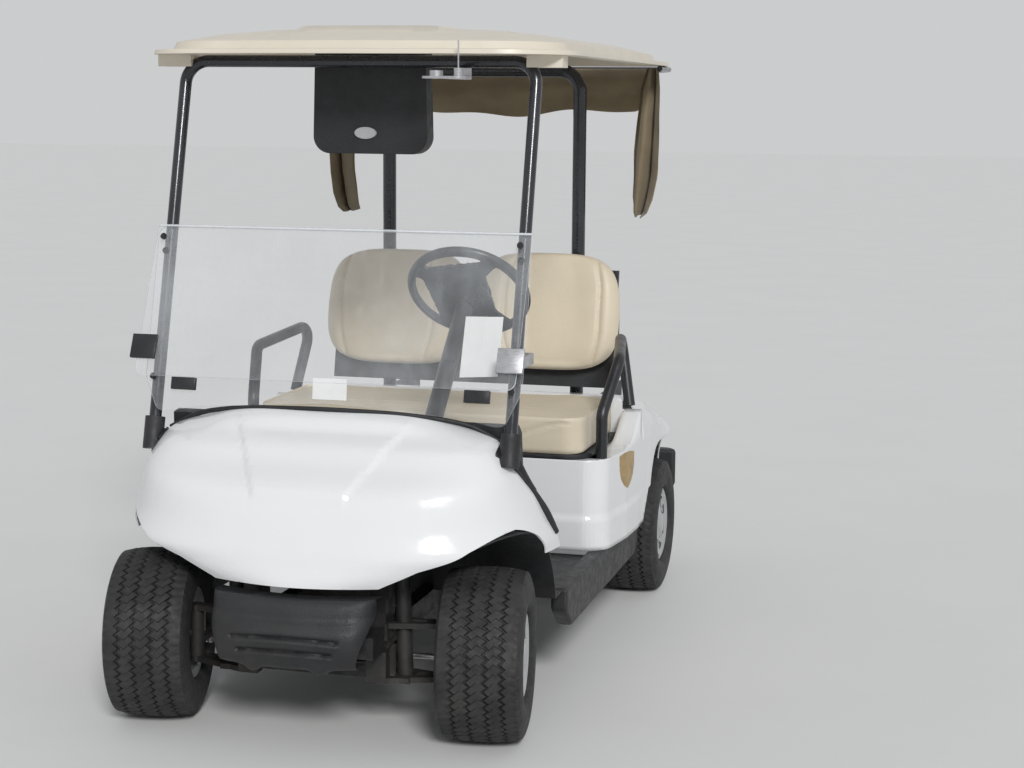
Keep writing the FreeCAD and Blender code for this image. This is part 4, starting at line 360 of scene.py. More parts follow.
def outwards(bm):
    """Merges what lies together and points all faces outwards."""
    bmesh.ops.remove_doubles(bm, verts=bm.verts, dist=SAME_PLACE)
    turned_out(bm)


def thickened(bm, thickness):
    """Gives a surface a thickness."""
    bmesh.ops.solidify(bm, geom=bm.faces, thickness=thickness)


def grid(bm, across, along):
    """Adds a grid and gives its points, each with its two coordinates from -1 to 1."""
    verts = bmesh.ops.create_grid(bm, x_segments=across, y_segments=along, size=1.0)["verts"]
    return [(vert, vert.co.x, vert.co.y) for vert in verts]


def rounded(bm, edges, width, segments, outer="SHARP"):
    """Rounds chosen edges and gives the points of the rounding."""
    return bmesh.ops.bevel(bm, geom=edges, offset=width, offset_type="OFFSET", segments=segments, profile=0.5,
                           affect="EDGES", clamp_overlap=True, material=-1, miter_outer=outer)["verts"]


def bevelled(bm, width, segments, angle):
    """Rounds the edges that turn by more than an angle."""
    edges = [edge for edge in bm.edges if edge.is_manifold and edge.calc_face_angle(0) > radians(angle)]
    rounded(bm, edges, width, segments, "ARC")


def block(bm, low, high):
    """Adds a box between two corners."""
    made = bmesh.ops.create_cube(bm, size=1.0)["verts"]
    bmesh.ops.scale(bm, vec=high - low, verts=made)
    bmesh.ops.translate(bm, vec=(low + high) / 2, verts=made)


def lathe(bm, profile, steps, closed=False):
    """Turns a profile of (along, radius) once round the X axis."""
    verts = [bm.verts.new((along, 0.0, radius)) for along, radius in profile]
    pairs = list(zip(verts, verts[1:])) + ([(verts[-1], verts[0])] if closed else [])
    edges = [bm.edges.new(pair) for pair in pairs]
    bmesh.ops.spin(bm, geom=verts + edges, cent=(0, 0, 0), axis=(1, 0, 0), dvec=(0, 0, 0),
                   angle=tau, steps=steps, use_merge=True, use_normal_flip=False, use_duplicate=False)


def merged(node):
    """A copy of a CAD solid's mesh with its loose triangles joined, flat ones into larger faces."""
    bm = bmesh.new()
    bm.from_mesh(frame["nodes"][node].data)
    bmesh.ops.remove_doubles(bm, verts=bm.verts, dist=SAME_PLACE)
    bmesh.ops.dissolve_limit(bm, angle_limit=radians(FLAT_ANGLE), verts=bm.verts, edges=bm.edges)
    return bm


def evened(item):
    """Shades a piece by its larger faces, so that flat ones stay flat."""
    item.modifiers.new("even_shade", "WEIGHTED_NORMAL").keep_sharp = True


def softened(node, name, finish_name, width):
    """A CAD solid's own form with its hard edges rounded."""
    bm = merged(node)
    bevelled(bm, width, 2, 40.0)
    item = piece(name, bm, body_of(node), finish_name)
    evened(item)
    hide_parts(node)


def keep(node, finish_name):
    """Gives a CAD solid, whose form is right, its finish."""
    mesh = frame["nodes"][node].data
    mesh.materials.clear()
    mesh.materials.append(finish_of(finish_name))


def sliced(bm, axis, places):
    """Cuts the faces along planes square to an axis, so that they can be bent."""
    normal = Vector((0, 0, 0))
    normal[axis] = 1.0
    for place in places:
        bmesh.ops.bisect_plane(bm, geom=bm.verts[:] + bm.edges[:] + bm.faces[:], dist=1e-6,
                               plane_co=normal * place, plane_no=normal)


def steps_between(low, high, count):
    """Evenly spaced places from low to high."""
    return [low + (high - low) * i / count for i in range(count + 1)]


def standing(bm, least):
    """The edges that rise by more than a height."""
    return [edge for edge in bm.edges if abs(edge.verts[0].co.z - edge.verts[1].co.z) > least]


def tube(bm, points, radius, steps):
    """A round bar along a smooth run of points."""
    places = [Vector(point) for point in points]
    rings = []
    for i, place in enumerate(places):
        way = (places[min(i + 1, len(places) - 1)] - places[max(i - 1, 0)]).normalized()
        turn = Matrix.Translation(place) @ way.to_track_quat("Z", "Y").to_matrix().to_4x4()
        made = bmesh.ops.create_circle(bm, segments=steps, radius=radius, cap_ends=i in (0, len(places) - 1),
                                       matrix=turn)["verts"]
        rings.append(list({edge for vert in made for edge in vert.link_edges if len(edge.link_faces) < 2}))
    for first, second in zip(rings, rings[1:]):
        bmesh.ops.bridge_loops(bm, edges=[edge for edge in first if edge.is_valid]
                               + [edge for edge in second if edge.is_valid])


def smooth_run(points):
    """Points on a smooth line through given ones."""
    places = [Vector(point) for point in points]
    places = [places[0] * 2 - places[1], *places, places[-1] * 2 - places[-2]]
    run = []
    for a, b, c, d in zip(places, places[1:], places[2:], places[3:]):
        for t in (i / SPAN_STEPS for i in range(SPAN_STEPS)):
            run.append(0.5 * (2 * b + (c - a) * t + (2 * a - 5 * b + 4 * c - d) * t * t
                              + (3 * b - a - 3 * c + d) * t ** 3))
    return run + [places[-2]]


def smooth_step(value, low, high):
    """0 at and below low, 1 at and above high."""
    share = min(1.0, max(0.0, (value - low) / (high - low)))
    return share * share * (3 - 2 * share)


def bump_line(distance, width):
    """A rounded ridge or groove about a line."""
    return exp(-(distance / width) ** 2)


def wheel_matrix(end_hand):
    """Where a wheel stands, and how it is turned."""
    low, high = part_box(f"tyre_{end_hand}")
    return Matrix.Translation((low + high) / 2) @ Matrix.Rotation(radians(WHEELS[end_hand]), 4, "Z")


# Tyres and wheels

TYRE_RADIUS = 0.220
TREAD_HALF = 0.097
GROOVES = (-0.062, -0.022, 0.022, 0.062)
GROOVE_HALF = 0.0046
ZIGZAG = 0.0062
CROWN_DROP = 0.0105
CROWN_CURVE = 2.4
# where one repeat of the tread has its rows of points, the second row in the middle of its cut
STATIONS = (-0.07, 0.0, 0.07, 0.5)
# how deep the cuts are, as shares of the grooves' depth
RIB_CUT = 0.22
SHOULDER_CUT = 0.35


def tread_profile(groove):
    """The tyre's section from bead to bead, and what each tread point belongs to."""
    flank = [
        (0.084, 0.103), (0.086, 0.113), (0.0885, 0.1205), (0.095, 0.1215), (0.101, 0.126), (0.106, 0.136),
        (0.1085, 0.150), (0.1088, 0.166), (0.1075, 0.181), (0.1050, 0.1905), (0.1042, 0.1925),
        (0.1030, 0.1965), (0.1010, 0.2015), (0.0988, 0.2055),
    ]
    points = [(-along, radius, None) for along, radius in flank]
    crown = TYRE_RADIUS - 0.0006
    edges = [-TREAD_HALF, *GROOVES, TREAD_HALF]
    for i, (low, high) in enumerate(zip(edges, edges[1:])):
        start = low + (GROOVE_HALF if i else 0.0)
        end = high - (GROOVE_HALF if i < len(edges) - 2 else 0.0)
        middle = (start + end) / 2
        ribs = [(start, "lip" if i else "shoulder"), (middle, "rib"),
                (end, "lip" if i < len(edges) - 2 else "shoulder")]
        for along, part in ribs:
            points.append((along, crown - CROWN_DROP * abs(along / TREAD_HALF) ** CROWN_CURVE, part))
        if i < len(edges) - 2:
            floor = crown - groove - CROWN_DROP * abs(high / TREAD_HALF) ** CROWN_CURVE
            points += [(high - GROOVE_HALF * 0.6, floor, "floor"), (high + GROOVE_HALF * 0.6, floor, "floor")]
    return points + [(along, radius, None) for along, radius in reversed(flank)]


def build_tyre(end_hand):
    """A tyre with zigzag grooves and chevron cuts between them."""
    groove, repeats = looks().groove, looks().tread_pitch
    steps = repeats * len(STATIONS)
    profile = tread_profile(groove)
    part_of = {(round(along, 5), round(radius, 5)): part for along, radius, part in profile}
    bm = bmesh.new()
    lathe(bm, [(along, radius) for along, radius, _ in profile], steps)
    for vert in bm.verts:
        radius = hypot(vert.co.y, vert.co.z)
        part = part_of.get((round(vert.co.x, 5), round(radius, 5)))
        if part is None:
            continue
        index = round(atan2(vert.co.y, vert.co.z) / tau * steps) % steps
        period, station = divmod(index, len(STATIONS))
        phase = STATIONS[station]
        along = vert.co.x
        if part in ("lip", "floor"):
            along += ZIGZAG * (1 - 4 * abs(phase)) if abs(phase) < 0.25 else -ZIGZAG
        if part != "floor" and station == 1:
            radius -= groove * (SHOULDER_CUT if part == "shoulder" else RIB_CUT)
        lag = 0.5 if part == "rib" else 0.0
        angle = (period + phase + lag) / repeats * tau
        vert.co = (along, sin(angle) * radius, cos(angle) * radius)
    outwards(bm)
    bmesh.ops.transform(bm, matrix=wheel_matrix(end_hand), verts=bm.verts)
    item = piece(f"road_tyre_{end_hand}", bm, f"{end_hand}_wheel", "tyre", sharp=32.0)
    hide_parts(f"tyre_{end_hand}")


SPOKES = 8
COVER_WALL = 0.004
COVER_WINDOW = (0.052, 0.091)


def build_wheel_cover(end_hand):
    """A dished silver cover with broad spokes, a rolled rim and a plain cap."""
    bm = bmesh.new()
    steps = SPOKES * 8
    rim = [(0.0795, 0.0965), (0.089, 0.0985), (0.0945, 0.103), (0.0955, 0.106), (0.0935, 0.1065)]
    face = [(0.0940, 0.1025), (0.0915, 0.0985), (0.0880, 0.0930), (0.0860, 0.0870), (0.0855, 0.0780),
            (0.0860, 0.0660), (0.0875, 0.0540), (0.0900, 0.0430), (0.0930, 0.0360), (0.0965, 0.0315),
            (0.0990, 0.0265), (0.1003, 0.0170), (0.1008, 0.0080), (0.1010, 0.0004)]
    lathe(bm, face, steps)
    window = []
    for item in bm.faces:
        middle = item.calc_center_median()
        radius = hypot(middle.y, middle.z)
        share = (atan2(middle.y, middle.z) / tau * SPOKES) % 1.0
        if COVER_WINDOW[0] < radius < COVER_WINDOW[1] and 0.25 < share < 0.75:
            window.append(item)
    bmesh.ops.delete(bm, geom=window, context="FACES")
    outwards(bm)
    if sum(item.normal.x for item in bm.faces) < 0:
        bmesh.ops.reverse_faces(bm, faces=bm.faces)
    thickened(bm, COVER_WALL)
    lathe(bm, rim, steps)
    bmesh.ops.remove_doubles(bm, verts=bm.verts, dist=0.0001)
    bmesh.ops.transform(bm, matrix=wheel_matrix(end_hand), verts=bm.verts)
    item = piece(f"spoked_cover_{end_hand}", bm, f"{end_hand}_wheel", "silver")
    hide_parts(f"wheel_cover_{end_hand}")


# Seats

BACK_LEAN = radians(12.0)
# how far a back stands out before and behind its middle plane
BACK_FRONT = 0.044
BACK_REAR = 0.030
BACK_SQUARENESS = 3.6
# how uneven the cushion's filling is
STUFFING = 0.0015
CUSHION_TURN = 0.062
PANEL_SEAM = 0.125
SIDE_SEAM = 0.095
WELT = 0.0038
LIP_TURN = 0.078


def seat_back_matrix(hand):
    """Where a seat back stands: the middle of its solid, leaned back."""
    low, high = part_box(f"seat_back_{hand}")
    return Matrix.Translation((low + high) / 2) @ Matrix.Rotation(-BACK_LEAN, 4, "X")


def back_outline(u, v):
    """A square's point moved to a rounded outline of the same width and height."""
    ring = max(abs(u), abs(v))
    if ring < 1e-6:
        return 0.0, 0.0, 0.0
    power = BACK_SQUARENESS
    length = (abs(u / ring) ** power + abs(v / ring) ** power) ** (-1 / power)
    return u * length, v * length, ring


def build_seat_back(hand, side):
    """A vinyl seat back: a flat middle between two raised bolsters, each sewn along a curved seam."""
    low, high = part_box(f"seat_back_{hand}")
    half_wide = (high.x - low.x) / 2 - 0.001
    half_tall = ((high.z - low.z) - 2 * BACK_FRONT * sin(BACK_LEAN) * 0.5) / 2 / cos(BACK_LEAN)
    seam = looks().seam
    bm = bmesh.new()
    for way, depth in ((-1, BACK_FRONT), (1, BACK_REAR)):
        for vert, u, v in grid(bm, 96, 80):
            x, z, ring = back_outline(u, v)
            x, z = x * half_wide * (1 - 0.05 * max(0.0, z)), z * half_tall
            y = way * depth * (1 - ring ** 7.0) ** 0.5
            if way < 0:
                rise = z / half_tall
                outer = half_wide - 0.058 - 0.050 * max(0.0, abs(rise) - 0.35) ** 1.5
                inner = half_wide - 0.112 - 0.070 * max(0.0, abs(rise) - 0.35) ** 1.5
                across = outer - x * side if x * side > 0 else inner + x * side
                ends = smooth_step(1 - abs(rise), 0.02, 0.16)
                y += seam * bump_line(across, 0.0055) * ends
                y -= 0.006 * bump_line(across + 0.026, 0.020) * ends
                y += 0.009 * smooth_step(across, 0.0, 0.09) * ends
                y += noise.noise(Vector((x * 9, z * 9, side * 3.0))) * 0.0014 * (1 - ring ** 4)
            vert.co = (x, y, z)
    outwards(bm)
    bmesh.ops.transform(bm, matrix=seat_back_matrix(hand), verts=bm.verts)
    item = piece(f"back_pad_{hand}", bm, "cart", "vinyl", sharp=80.0)
    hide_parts(f"seat_back_{hand}")


def build_seat_cushion():
    """The bench cushion: tall sewn front, crowned top and a welt round its upper edge."""
    low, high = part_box("seat_cushion")
    tall = high.z - low.z
    seam = looks().seam
    low, high = low + Vector((0.001, 0.004, 0.0)), high - Vector((0.001, 0.0, 0.004))
    bm = bmesh.new()
    block(bm, low, high)
    rounded(bm, [edge for edge in standing(bm, 0.05) if edge.verts[0].co.y < 0], CUSHION_TURN, 10)
    rounded(bm, [edge for edge in standing(bm, 0.05) if edge.verts[0].co.y > 0.3], 0.03, 6)
    rim = [edge for edge in bm.edges if edge.is_manifold and edge.calc_face_angle(0) > radians(50)]
    rounded(bm, rim, 0.016, 5)
    for axis, count in enumerate((70, 34, 10)):
        sliced(bm, axis, steps_between(low[axis] + 0.02, high[axis] - 0.02, count))
    bm.normal_update()
    moves = []
    for vert in bm.verts:
        x, y, z = vert.co
        step = Vector((0, 0, 0))
        to_front, to_side = y - low.y, high.x - abs(x)
        if vert.normal.z > 0.6:
            step.z -= 0.010 * (1 - smooth_step(min(to_front, to_side), 0.0, 0.14))
            step.z -= seam * 0.8 * bump_line(to_front - PANEL_SEAM, 0.004) * smooth_step(to_side, 0.10, 0.16)
            step.z -= seam * 0.8 * bump_line(to_side - SIDE_SEAM, 0.004) * smooth_step(to_front, 0.11, 0.17)
            step.z -= 0.005 * smooth_step(to_front, 0.12, 0.2) * smooth_step(to_side, 0.1, 0.18)
            step.z += noise.noise(Vector((x * 7, y * 7, 5.0))) * STUFFING
        elif vert.normal.y < -0.5:
            rise = (z - low.z) / tall
            step.y -= 0.003 * sin(pi * rise)
            dip = 0.36 + 0.42 * smooth_step(abs(x), 0.25, 0.44)
            step.y += seam * 0.9 * bump_line((rise - dip) * tall, 0.004) * smooth_step(to_side, 0.02, 0.06)
            step.y += 0.0025 * smooth_step(dip - rise, 0.0, 0.2)
        moves.append((vert, step))
    for vert, step in moves:
        vert.co += step
    outwards(bm)
    item = piece("bench_cushion", bm, "bench", "vinyl", sharp=80.0)
    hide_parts("seat_cushion")
    build_welt(low + Vector((0.0045, 0.0045, 0)), high - Vector((0.0045, 0.03, 0.0125)))


def build_welt(low, high):
    """The sewn cord round the cushion's upper edge, from one rear corner to the other."""
    turn = 0.060
    corner = [(sin(radians(a)), cos(radians(a))) for a in range(0, 91, 10)]
    left = [(low.x, high.y)] + [(low.x + turn * (1 - c), low.y + turn * (1 - s)) for s, c in corner]
    right = [(high.x, high.y)] + [(high.x - turn * (1 - c), low.y + turn * (1 - s)) for s, c in corner]
    front = [(x, low.y) for x in steps_between(low.x + 0.0855, high.x - 0.0855, 20)]
    bm = bmesh.new()
    tube(bm, [(x, y, high.z) for x, y in left + front + right[::-1]], WELT, 8)
    item = piece("bench_welt", bm, "bench", "vinyl", sharp=60.0)


def build_seat_trim():
    """The black lip under the cushion, rounded as the pod below it is."""
    low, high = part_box("seat_trim")
    bm = bmesh.new()
    block(bm, low + Vector((0.008, 0.004, 0)), high - Vector((0.008, 0, 0)))
    rounded(bm, [edge for edge in standing(bm, 0.005) if edge.verts[0].co.y < 0], LIP_TURN, 12)
    bevelled(bm, 0.004, 3, 60.0)
    item = piece("pod_lip", bm, body_of("seat_trim"), "grained")
    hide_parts("seat_trim")


# Cowl

CREASE_FOOT = (0.120, FRONT_AXLE - 0.163)
CREASE_HEAD = (0.207, FRONT_AXLE - 0.010)
CREASE_CELL = 0.013
# across the cart, behind the front axle, above the ground
SIDE_LIP = [(0.566, 0.204, 0.500), (0.546, 0.168, 0.565), (0.517, 0.139, 0.622), (0.494, 0.098, 0.690),
            (0.474, 0.100, 0.736)]
TOP_LIP = [(-0.452, 0.100, 0.742), (-0.410, 0.100, 0.764), (-0.351, 0.093, 0.788), (-0.220, 0.060, 0.809),
           (0.0, 0.043, 0.817)]


def build_cowl():
    """The white cowl: the CAD shell with its raised middle pressed in."""
    bm = merged("front_cowl")
    sliced(bm, 0, [-0.26 + CREASE_CELL * i for i in range(41)])
    sliced(bm, 1, [FRONT_AXLE - 0.20 + CREASE_CELL * i for i in range(22)])
    bm.normal_update()
    height = looks().crease
    slope = (CREASE_HEAD[0] - CREASE_FOOT[0]) / (CREASE_HEAD[1] - CREASE_FOOT[1])
    moves = []
    for vert in bm.verts:
        x, y = vert.co.xy
        half = CREASE_FOOT[0] + slope * (y - CREASE_FOOT[1])
        inside = smooth_step(half - abs(x), -0.010, 0.008)
        foot = smooth_step(y - CREASE_FOOT[1], -0.010, 0.010)
        fade = 1 - smooth_step(y - CREASE_HEAD[1], -0.02, 0.07)
        if vert.normal.z > 0.2 and vert.normal.y < 0.3:
            moves.append((vert, vert.normal * height * inside * foot * fade))
    for vert, step in moves:
        vert.co += step
    item = piece("cowl_shell", bm, "cart", "paint", sharp=38.0)
    evened(item)
    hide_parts("front_cowl")


def build_cowl_edge():
    """The black lips that run up the cowl's side edges, under the posts, and along its top."""
    lips = {f"cowl_side_lip_{hand}": (0.010, [(x * side, y, z) for x, y, z in SIDE_LIP])
            for hand, side in HANDS}
    lips["cowl_top_lip"] = (0.006, TOP_LIP + [(-x, y, z) for x, y, z in TOP_LIP[-2::-1]])
    for name, (radius, run) in lips.items():
        bm = bmesh.new()
        tube(bm, smooth_run([(x, FRONT_AXLE + y, z) for x, y, z in run]), radius, 10)
        turned_out(bm)
        item = piece(name, bm, "cart", "rubber", sharp=60.0)


# Rear body

SHOULDER = 0.140
POD_TURN = 0.066
# the low ledge round the pod: how far it stands out, and its height
LEDGE = 0.007
LEDGE_TOP = 0.398
# the heights between which the solid's wing starts over the pod
ARCH_RIM = (0.5712, 0.573)
POD_HALF = [(-0.830, 0.556), (-0.620, 0.584), (-0.300, 0.598)]
WING_TOP = [
    # behind the rear axle, the solid's own top, how far the moulding's top lies below it
    (-0.420, 0.700, 0.000), (-0.250, 0.696, 0.014), (-0.200, 0.689, 0.018), (-0.060, 0.668, 0.038),
    (0.050, 0.644, 0.038), (0.200, 0.612, 0.022), (0.325, 0.585, 0.006), (0.385, 0.557, 0.000),
]
WING_HALF = [
    # behind the rear axle, the solid's half width there
    (-0.620, 0.584), (-0.300, 0.598), (0.150, 0.598), (0.325, 0.556), (0.350, 0.549), (0.370, 0.530),
    (0.385, 0.500),
]


def between(rows, along, column):
    """A table's value at a place along it."""
    if along <= rows[0][0]:
        return rows[0][column]
    for low, high in zip(rows, rows[1:]):
        if along <= high[0]:
            share = (along - low[0]) / (high[0] - low[0])
            return low[column] + (high[column] - low[column]) * share
    return rows[-1][column]


def shaped_body(place):
    """Where a point of the squarer solid lies on the real moulding."""
    x, y, z = place
    side = 1.0 if x > 0 else -1.0
    along, out = y - REAR_AXLE, abs(x)
    if along > -0.424:
        top = between(WING_TOP, along, 1)
        half = between(WING_HALF, along, 1)
        inward, down = (half - out) / SHOULDER, (top - z) / SHOULDER
        if inward < 1.0 and down < 1.0:
            corner = Vector((1 - max(0.0, inward), 1 - max(0.0, down)))
            if corner.length > 1e-6:
                weight = 0.35 + 0.65 * smooth_step(along, -0.22, 0.05)
                turned = corner.normalized() * max(corner)
                moved = corner.lerp(turned, weight)
                out, z = half - SHOULDER * (1 - moved.x), top - SHOULDER * (1 - moved.y)
        z -= between(WING_TOP, along, 2) * smooth_step(z, 0.50, 0.60)
        out *= 1 - 0.11 * smooth_step(along, 0.08, 0.40)
    elif ARCH_RIM[0] < z < ARCH_RIM[1] and out > 0.515:
        rise = 0.100 * smooth_step(along, -0.64, -0.40) ** 1.6
        z += rise * smooth_step(out, 0.515, 0.535)
    if z < 0.56:
        proud = 1 - smooth_step(z, LEDGE_TOP, LEDGE_TOP + 0.010)
        proud *= 1 - smooth_step(along, -0.50, -0.36)
        centre = Vector((max(0.0, out - 0.490), min(0.0, y - (REAR_AXLE - 0.764))))
        if centre.length > 0.0641:
            push = centre.normalized() * LEDGE * proud
            out, y = out + push.x, y + push.y
    return side * out, y, z


def build_body():
    """The white rear moulding: the CAD shell cut finely, then given its round shoulders and corners."""
    bm = merged("rear_body")
    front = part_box("rear_body")[0].y
    corners = [edge for edge in standing(bm, 0.05)
               if all(vert.co.y < front + 0.006 and abs(vert.co.x) > 0.545 for vert in edge.verts)]
    rounded(bm, corners, POD_TURN, 10)
    bmesh.ops.triangulate(bm, faces=bm.faces)
    for axis, low, high, count in (
        (0, 0.44, 0.598, 14), (0, -0.598, -0.44, 14), (1, front, 1.13, 60), (2, 0.32, 0.70, 46),
    ):
        sliced(bm, axis, steps_between(low + 0.001, high - 0.001, count))
    for vert in bm.verts:
        vert.co = shaped_body(vert.co)
    turned_out(bm)
    item = piece("body_shell", bm, body_of("rear_body"), "paint", sharp=50.0)
    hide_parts("rear_body")


# Bag cover

CLOTH = 0.0022
COVER_TOP = 1.706
COVER_DROP = 0.474
COVER_EDGES = [
    # height with its sign turned, outer edge across the cart, inner edge across it
    (-1.706, 0.552, 0.500), (-1.640, 0.557, 0.480), (-1.540, 0.558, 0.466), (-1.440, 0.558, 0.455),
    (-1.360, 0.552, 0.454), (-1.290, 0.540, 0.452), (-1.248, 0.524, 0.458), (-1.232, 0.505, 0.470),
]


def build_cover_side(hand, side):
    """One side of the bag cover, hanging in long folds from the hoop."""
    bm = bmesh.new()
    for vert, across, up in grid(bm, 72, 90):
        u, v = (across + 1) / 2, (1 - up) / 2
        z = COVER_TOP - COVER_DROP * v
        outer, inner = between(COVER_EDGES, -z, 1), between(COVER_EDGES, -z, 2)
        if side < 0:
            inner = outer - (outer - inner) * 0.5
        fold = sin(u * tau * 1.6 + 0.7 + 0.9 * v) * (0.016 + 0.016 * v)
        fold += sin(u * tau * 3.4 + 2.0 * v) * 0.006
        fold += noise.noise(Vector((u * 3, v * 5, side * 2.0))) * 0.010
        sag = 0.010 * sin(v * pi) * u
        x = inner + (outer - inner) * (u + 0.05 * sin(u * tau * 2.0 + v))
        y = 0.770 + 0.055 * (0.5 - u) + fold + sag
        hem = 0.004 * sin(u * 9.0) * v
        vert.co = (side * min(max(x, 0.44), 0.5575), min(max(y, 0.674), 0.864), z - hem)
    if side < 0:
        bmesh.ops.reverse_faces(bm, faces=bm.faces)
    area = sum(item.calc_area() for item in bm.faces)
    thickened(bm, CLOTH)
    item = piece(f"cover_side_{hand}", bm, "cart", "canvas", sharp=80.0)
    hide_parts("bag_cover")


def build_cover_back():
    """The cover's rolled back edge: a sagging strip of cloth between the hoop's sides."""
    bm = bmesh.new()
    for vert, u, up in grid(bm, 110, 36):
        v = (1 - up) / 2
        drop = 0.142 * (1 - 0.7 * smooth_step(abs(u), 0.86, 1.0))
        drop = drop + 0.010 * cos(u * pi * 1.5) + 0.006 * sin(u * 11.0)
        fold = 0.007 * sin(v * 9.0 + u * 3.0) + 0.006 * noise.noise(Vector((u * 5, v * 4, 7.0)))
        belly = 0.020 * sin(pi * v)
        vert.co = (u * 0.535, 0.846 - belly + fold, 1.705 - drop * v)
    area = sum(item.calc_area() for item in bm.faces)
    thickened(bm, CLOTH)
    item = piece("cover_back", bm, "cart", "canvas", sharp=80.0)
    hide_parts("bag_cover")


# Small parts

PAPER = 0.0008
OVAL = (-0.0118, -0.5130, 1.5093)
FACING_FRONT = Matrix.Rotation(radians(90), 4, "X")


def stud(bm, place, steps, foot, head, depth):
    """Adds a low round stud that narrows from its foot to its head."""
    bmesh.ops.create_cone(bm, cap_ends=True, segments=steps, radius1=foot, radius2=head, depth=depth,
                          matrix=place)


def build_papers():
    """The bare white card behind the screen and the bare white label on it."""
    card = [(0.336, 0.103, 0.905), (0.436, 0.103, 0.911), (0.445, 0.123, 1.060), (0.347, 0.123, 1.058)]
    label = [(-0.042, 0.060, 0.839), (0.050, 0.060, 0.839), (0.050, 0.066, 0.893), (-0.042, 0.066, 0.893)]
    for name, corners in (("screen_card", card), ("screen_label", label)):
        bm = bmesh.new()
        bm.faces.new([bm.verts.new((x, FRONT_AXLE + y, z)) for x, y, z in corners])
        bm.normal_update()
        thickened(bm, PAPER)
        item = piece(name, bm, "cart", "paper", sharp=30.0)


def build_badge():
    """A bare bronze shield on the side of the seat pod."""
    outline = [(0.070, 0.562), (0.120, 0.566), (0.180, 0.562), (0.232, 0.552), (0.233, 0.518), (0.222, 0.490),
               (0.198, 0.468), (0.158, 0.452), (0.118, 0.466), (0.088, 0.490), (0.074, 0.520)]
    bm = bmesh.new()
    places = [(between(POD_HALF, y - REAR_AXLE, 1) + 0.0006, y, z) for y, z in outline]
    bm.faces.new([bm.verts.new(place) for place in places])
    sliced(bm, 1, steps_between(0.08, 0.225, 12))
    for vert in bm.verts:
        vert.co.x = between(POD_HALF, vert.co.y - REAR_AXLE, 1) + 0.0006
    thickened(bm, -PAPER)
    turned_out(bm)
    item = piece("bare_shield", bm, "cart", "badge", sharp=30.0)


def build_oval():
    """The bare silver oval on the display's housing."""
    bm = bmesh.new()
    flattened = Matrix.Diagonal((1.0, 0.52, 1.0, 1.0))
    stud(bm, Matrix.Translation(OVAL) @ FACING_FRONT @ flattened, 48, 0.032, 0.030, 0.003)
    turned_out(bm)
    item = piece("bare_oval", bm, "cart", "silver")


def build_screws():
    """The black screw heads that hold the screen's panes to the posts."""
    for hand, side in HANDS:
        bm = bmesh.new()
        for z, y in ((1.239, 0.149), (1.201, 0.160), (0.880, 0.069)):
            place = Matrix.Translation((0.482 * side, FRONT_AXLE + y - 0.012, z))
            stud(bm, place @ FACING_FRONT, 20, 0.009, 0.006, 0.008)
        item = piece(f"screen_screws_{hand}", bm, "cart", "black")


# Bumper

BUMPER_SECTION = [
    # behind the bumper's front, above the ground: from the back of its top round to the back of its underside
    (0.132, 0.380), (0.100, 0.389), (0.066, 0.392), (0.046, 0.389), (0.034, 0.378), (0.028, 0.362),
    (0.024, 0.346), (0.014, 0.332), (0.005, 0.316), (0.001, 0.294), (0.002, 0.268), (0.007, 0.244),
    (0.018, 0.227), (0.040, 0.219), (0.090, 0.218),
]
# height of each groove and half its width
BUMPER_GROOVES = ((0.303, 0.146), (0.270, 0.130))
BUMPER_WALL = 0.005
BUMPER_HALF = 0.212
# the ends sweep back from this far out, over this width
SWEEP_START = 0.120
SWEEP_WIDE = 0.093
# how far out each lobe of the lower edge lies, half its width and how far it hangs down
LOBE_PLACE, LOBE_WIDE, LOBE_DROP = 0.088, 0.020, 0.014
RAILS_END = FRONT_AXLE - 0.215


def build_bumper():
    """The black front bumper: a moulding with swept ends, two long grooves and two lobes below."""
    low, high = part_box("front_bumper")
    run = [(place.y, place.z) for place in smooth_run([(0, y, z) for y, z in BUMPER_SECTION])]
    bm = bmesh.new()
    for vert, u, v in grid(bm, 110, len(run) - 1):
        depth, z = run[round((1 - v) / 2 * (len(run) - 1))]
        half = BUMPER_HALF - 0.034 * smooth_step(0.36 - z, 0.0, 0.14) - 0.004 * smooth_step(z, 0.375, 0.392)
        x = u * half
        reach = max(0.0, abs(x) - SWEEP_START) / SWEEP_WIDE
        depth += (0.085 - depth * 0.6) * (1 - sqrt(max(0.0, 1 - min(1.0, reach) ** 2.8)))
        depth += 0.010 * min(1.0, abs(x) / 0.15) ** 2
        if v < 0.6 and depth < 0.09:
            for height, width in BUMPER_GROOVES:
                level = height - 0.010 * (x / 0.15) ** 2
                ends = smooth_step(width - abs(x), 0.0, 0.012)
                depth += 0.0085 * bump_line(z - level, 0.0050) * ends
                depth -= 0.0030 * bump_line(z - level + 0.010, 0.005) * ends
        z -= LOBE_DROP * bump_line(abs(x) - LOBE_PLACE, LOBE_WIDE) * smooth_step(0.250 - z, 0.0, 0.02)
        z += 0.006 * (x / 0.2) ** 2
        vert.co = (x, low.y + 0.001 + depth, min(z, high.z - 0.001))
    turned_out(bm)
    if sum(item.normal.y * item.calc_area() for item in bm.faces) > 0:
        bmesh.ops.reverse_faces(bm, faces=bm.faces)
    thickened(bm, BUMPER_WALL)
    item = piece("bumper_moulding", bm, body_of("front_bumper"), "grained", sharp=60.0)
    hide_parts("front_bumper")


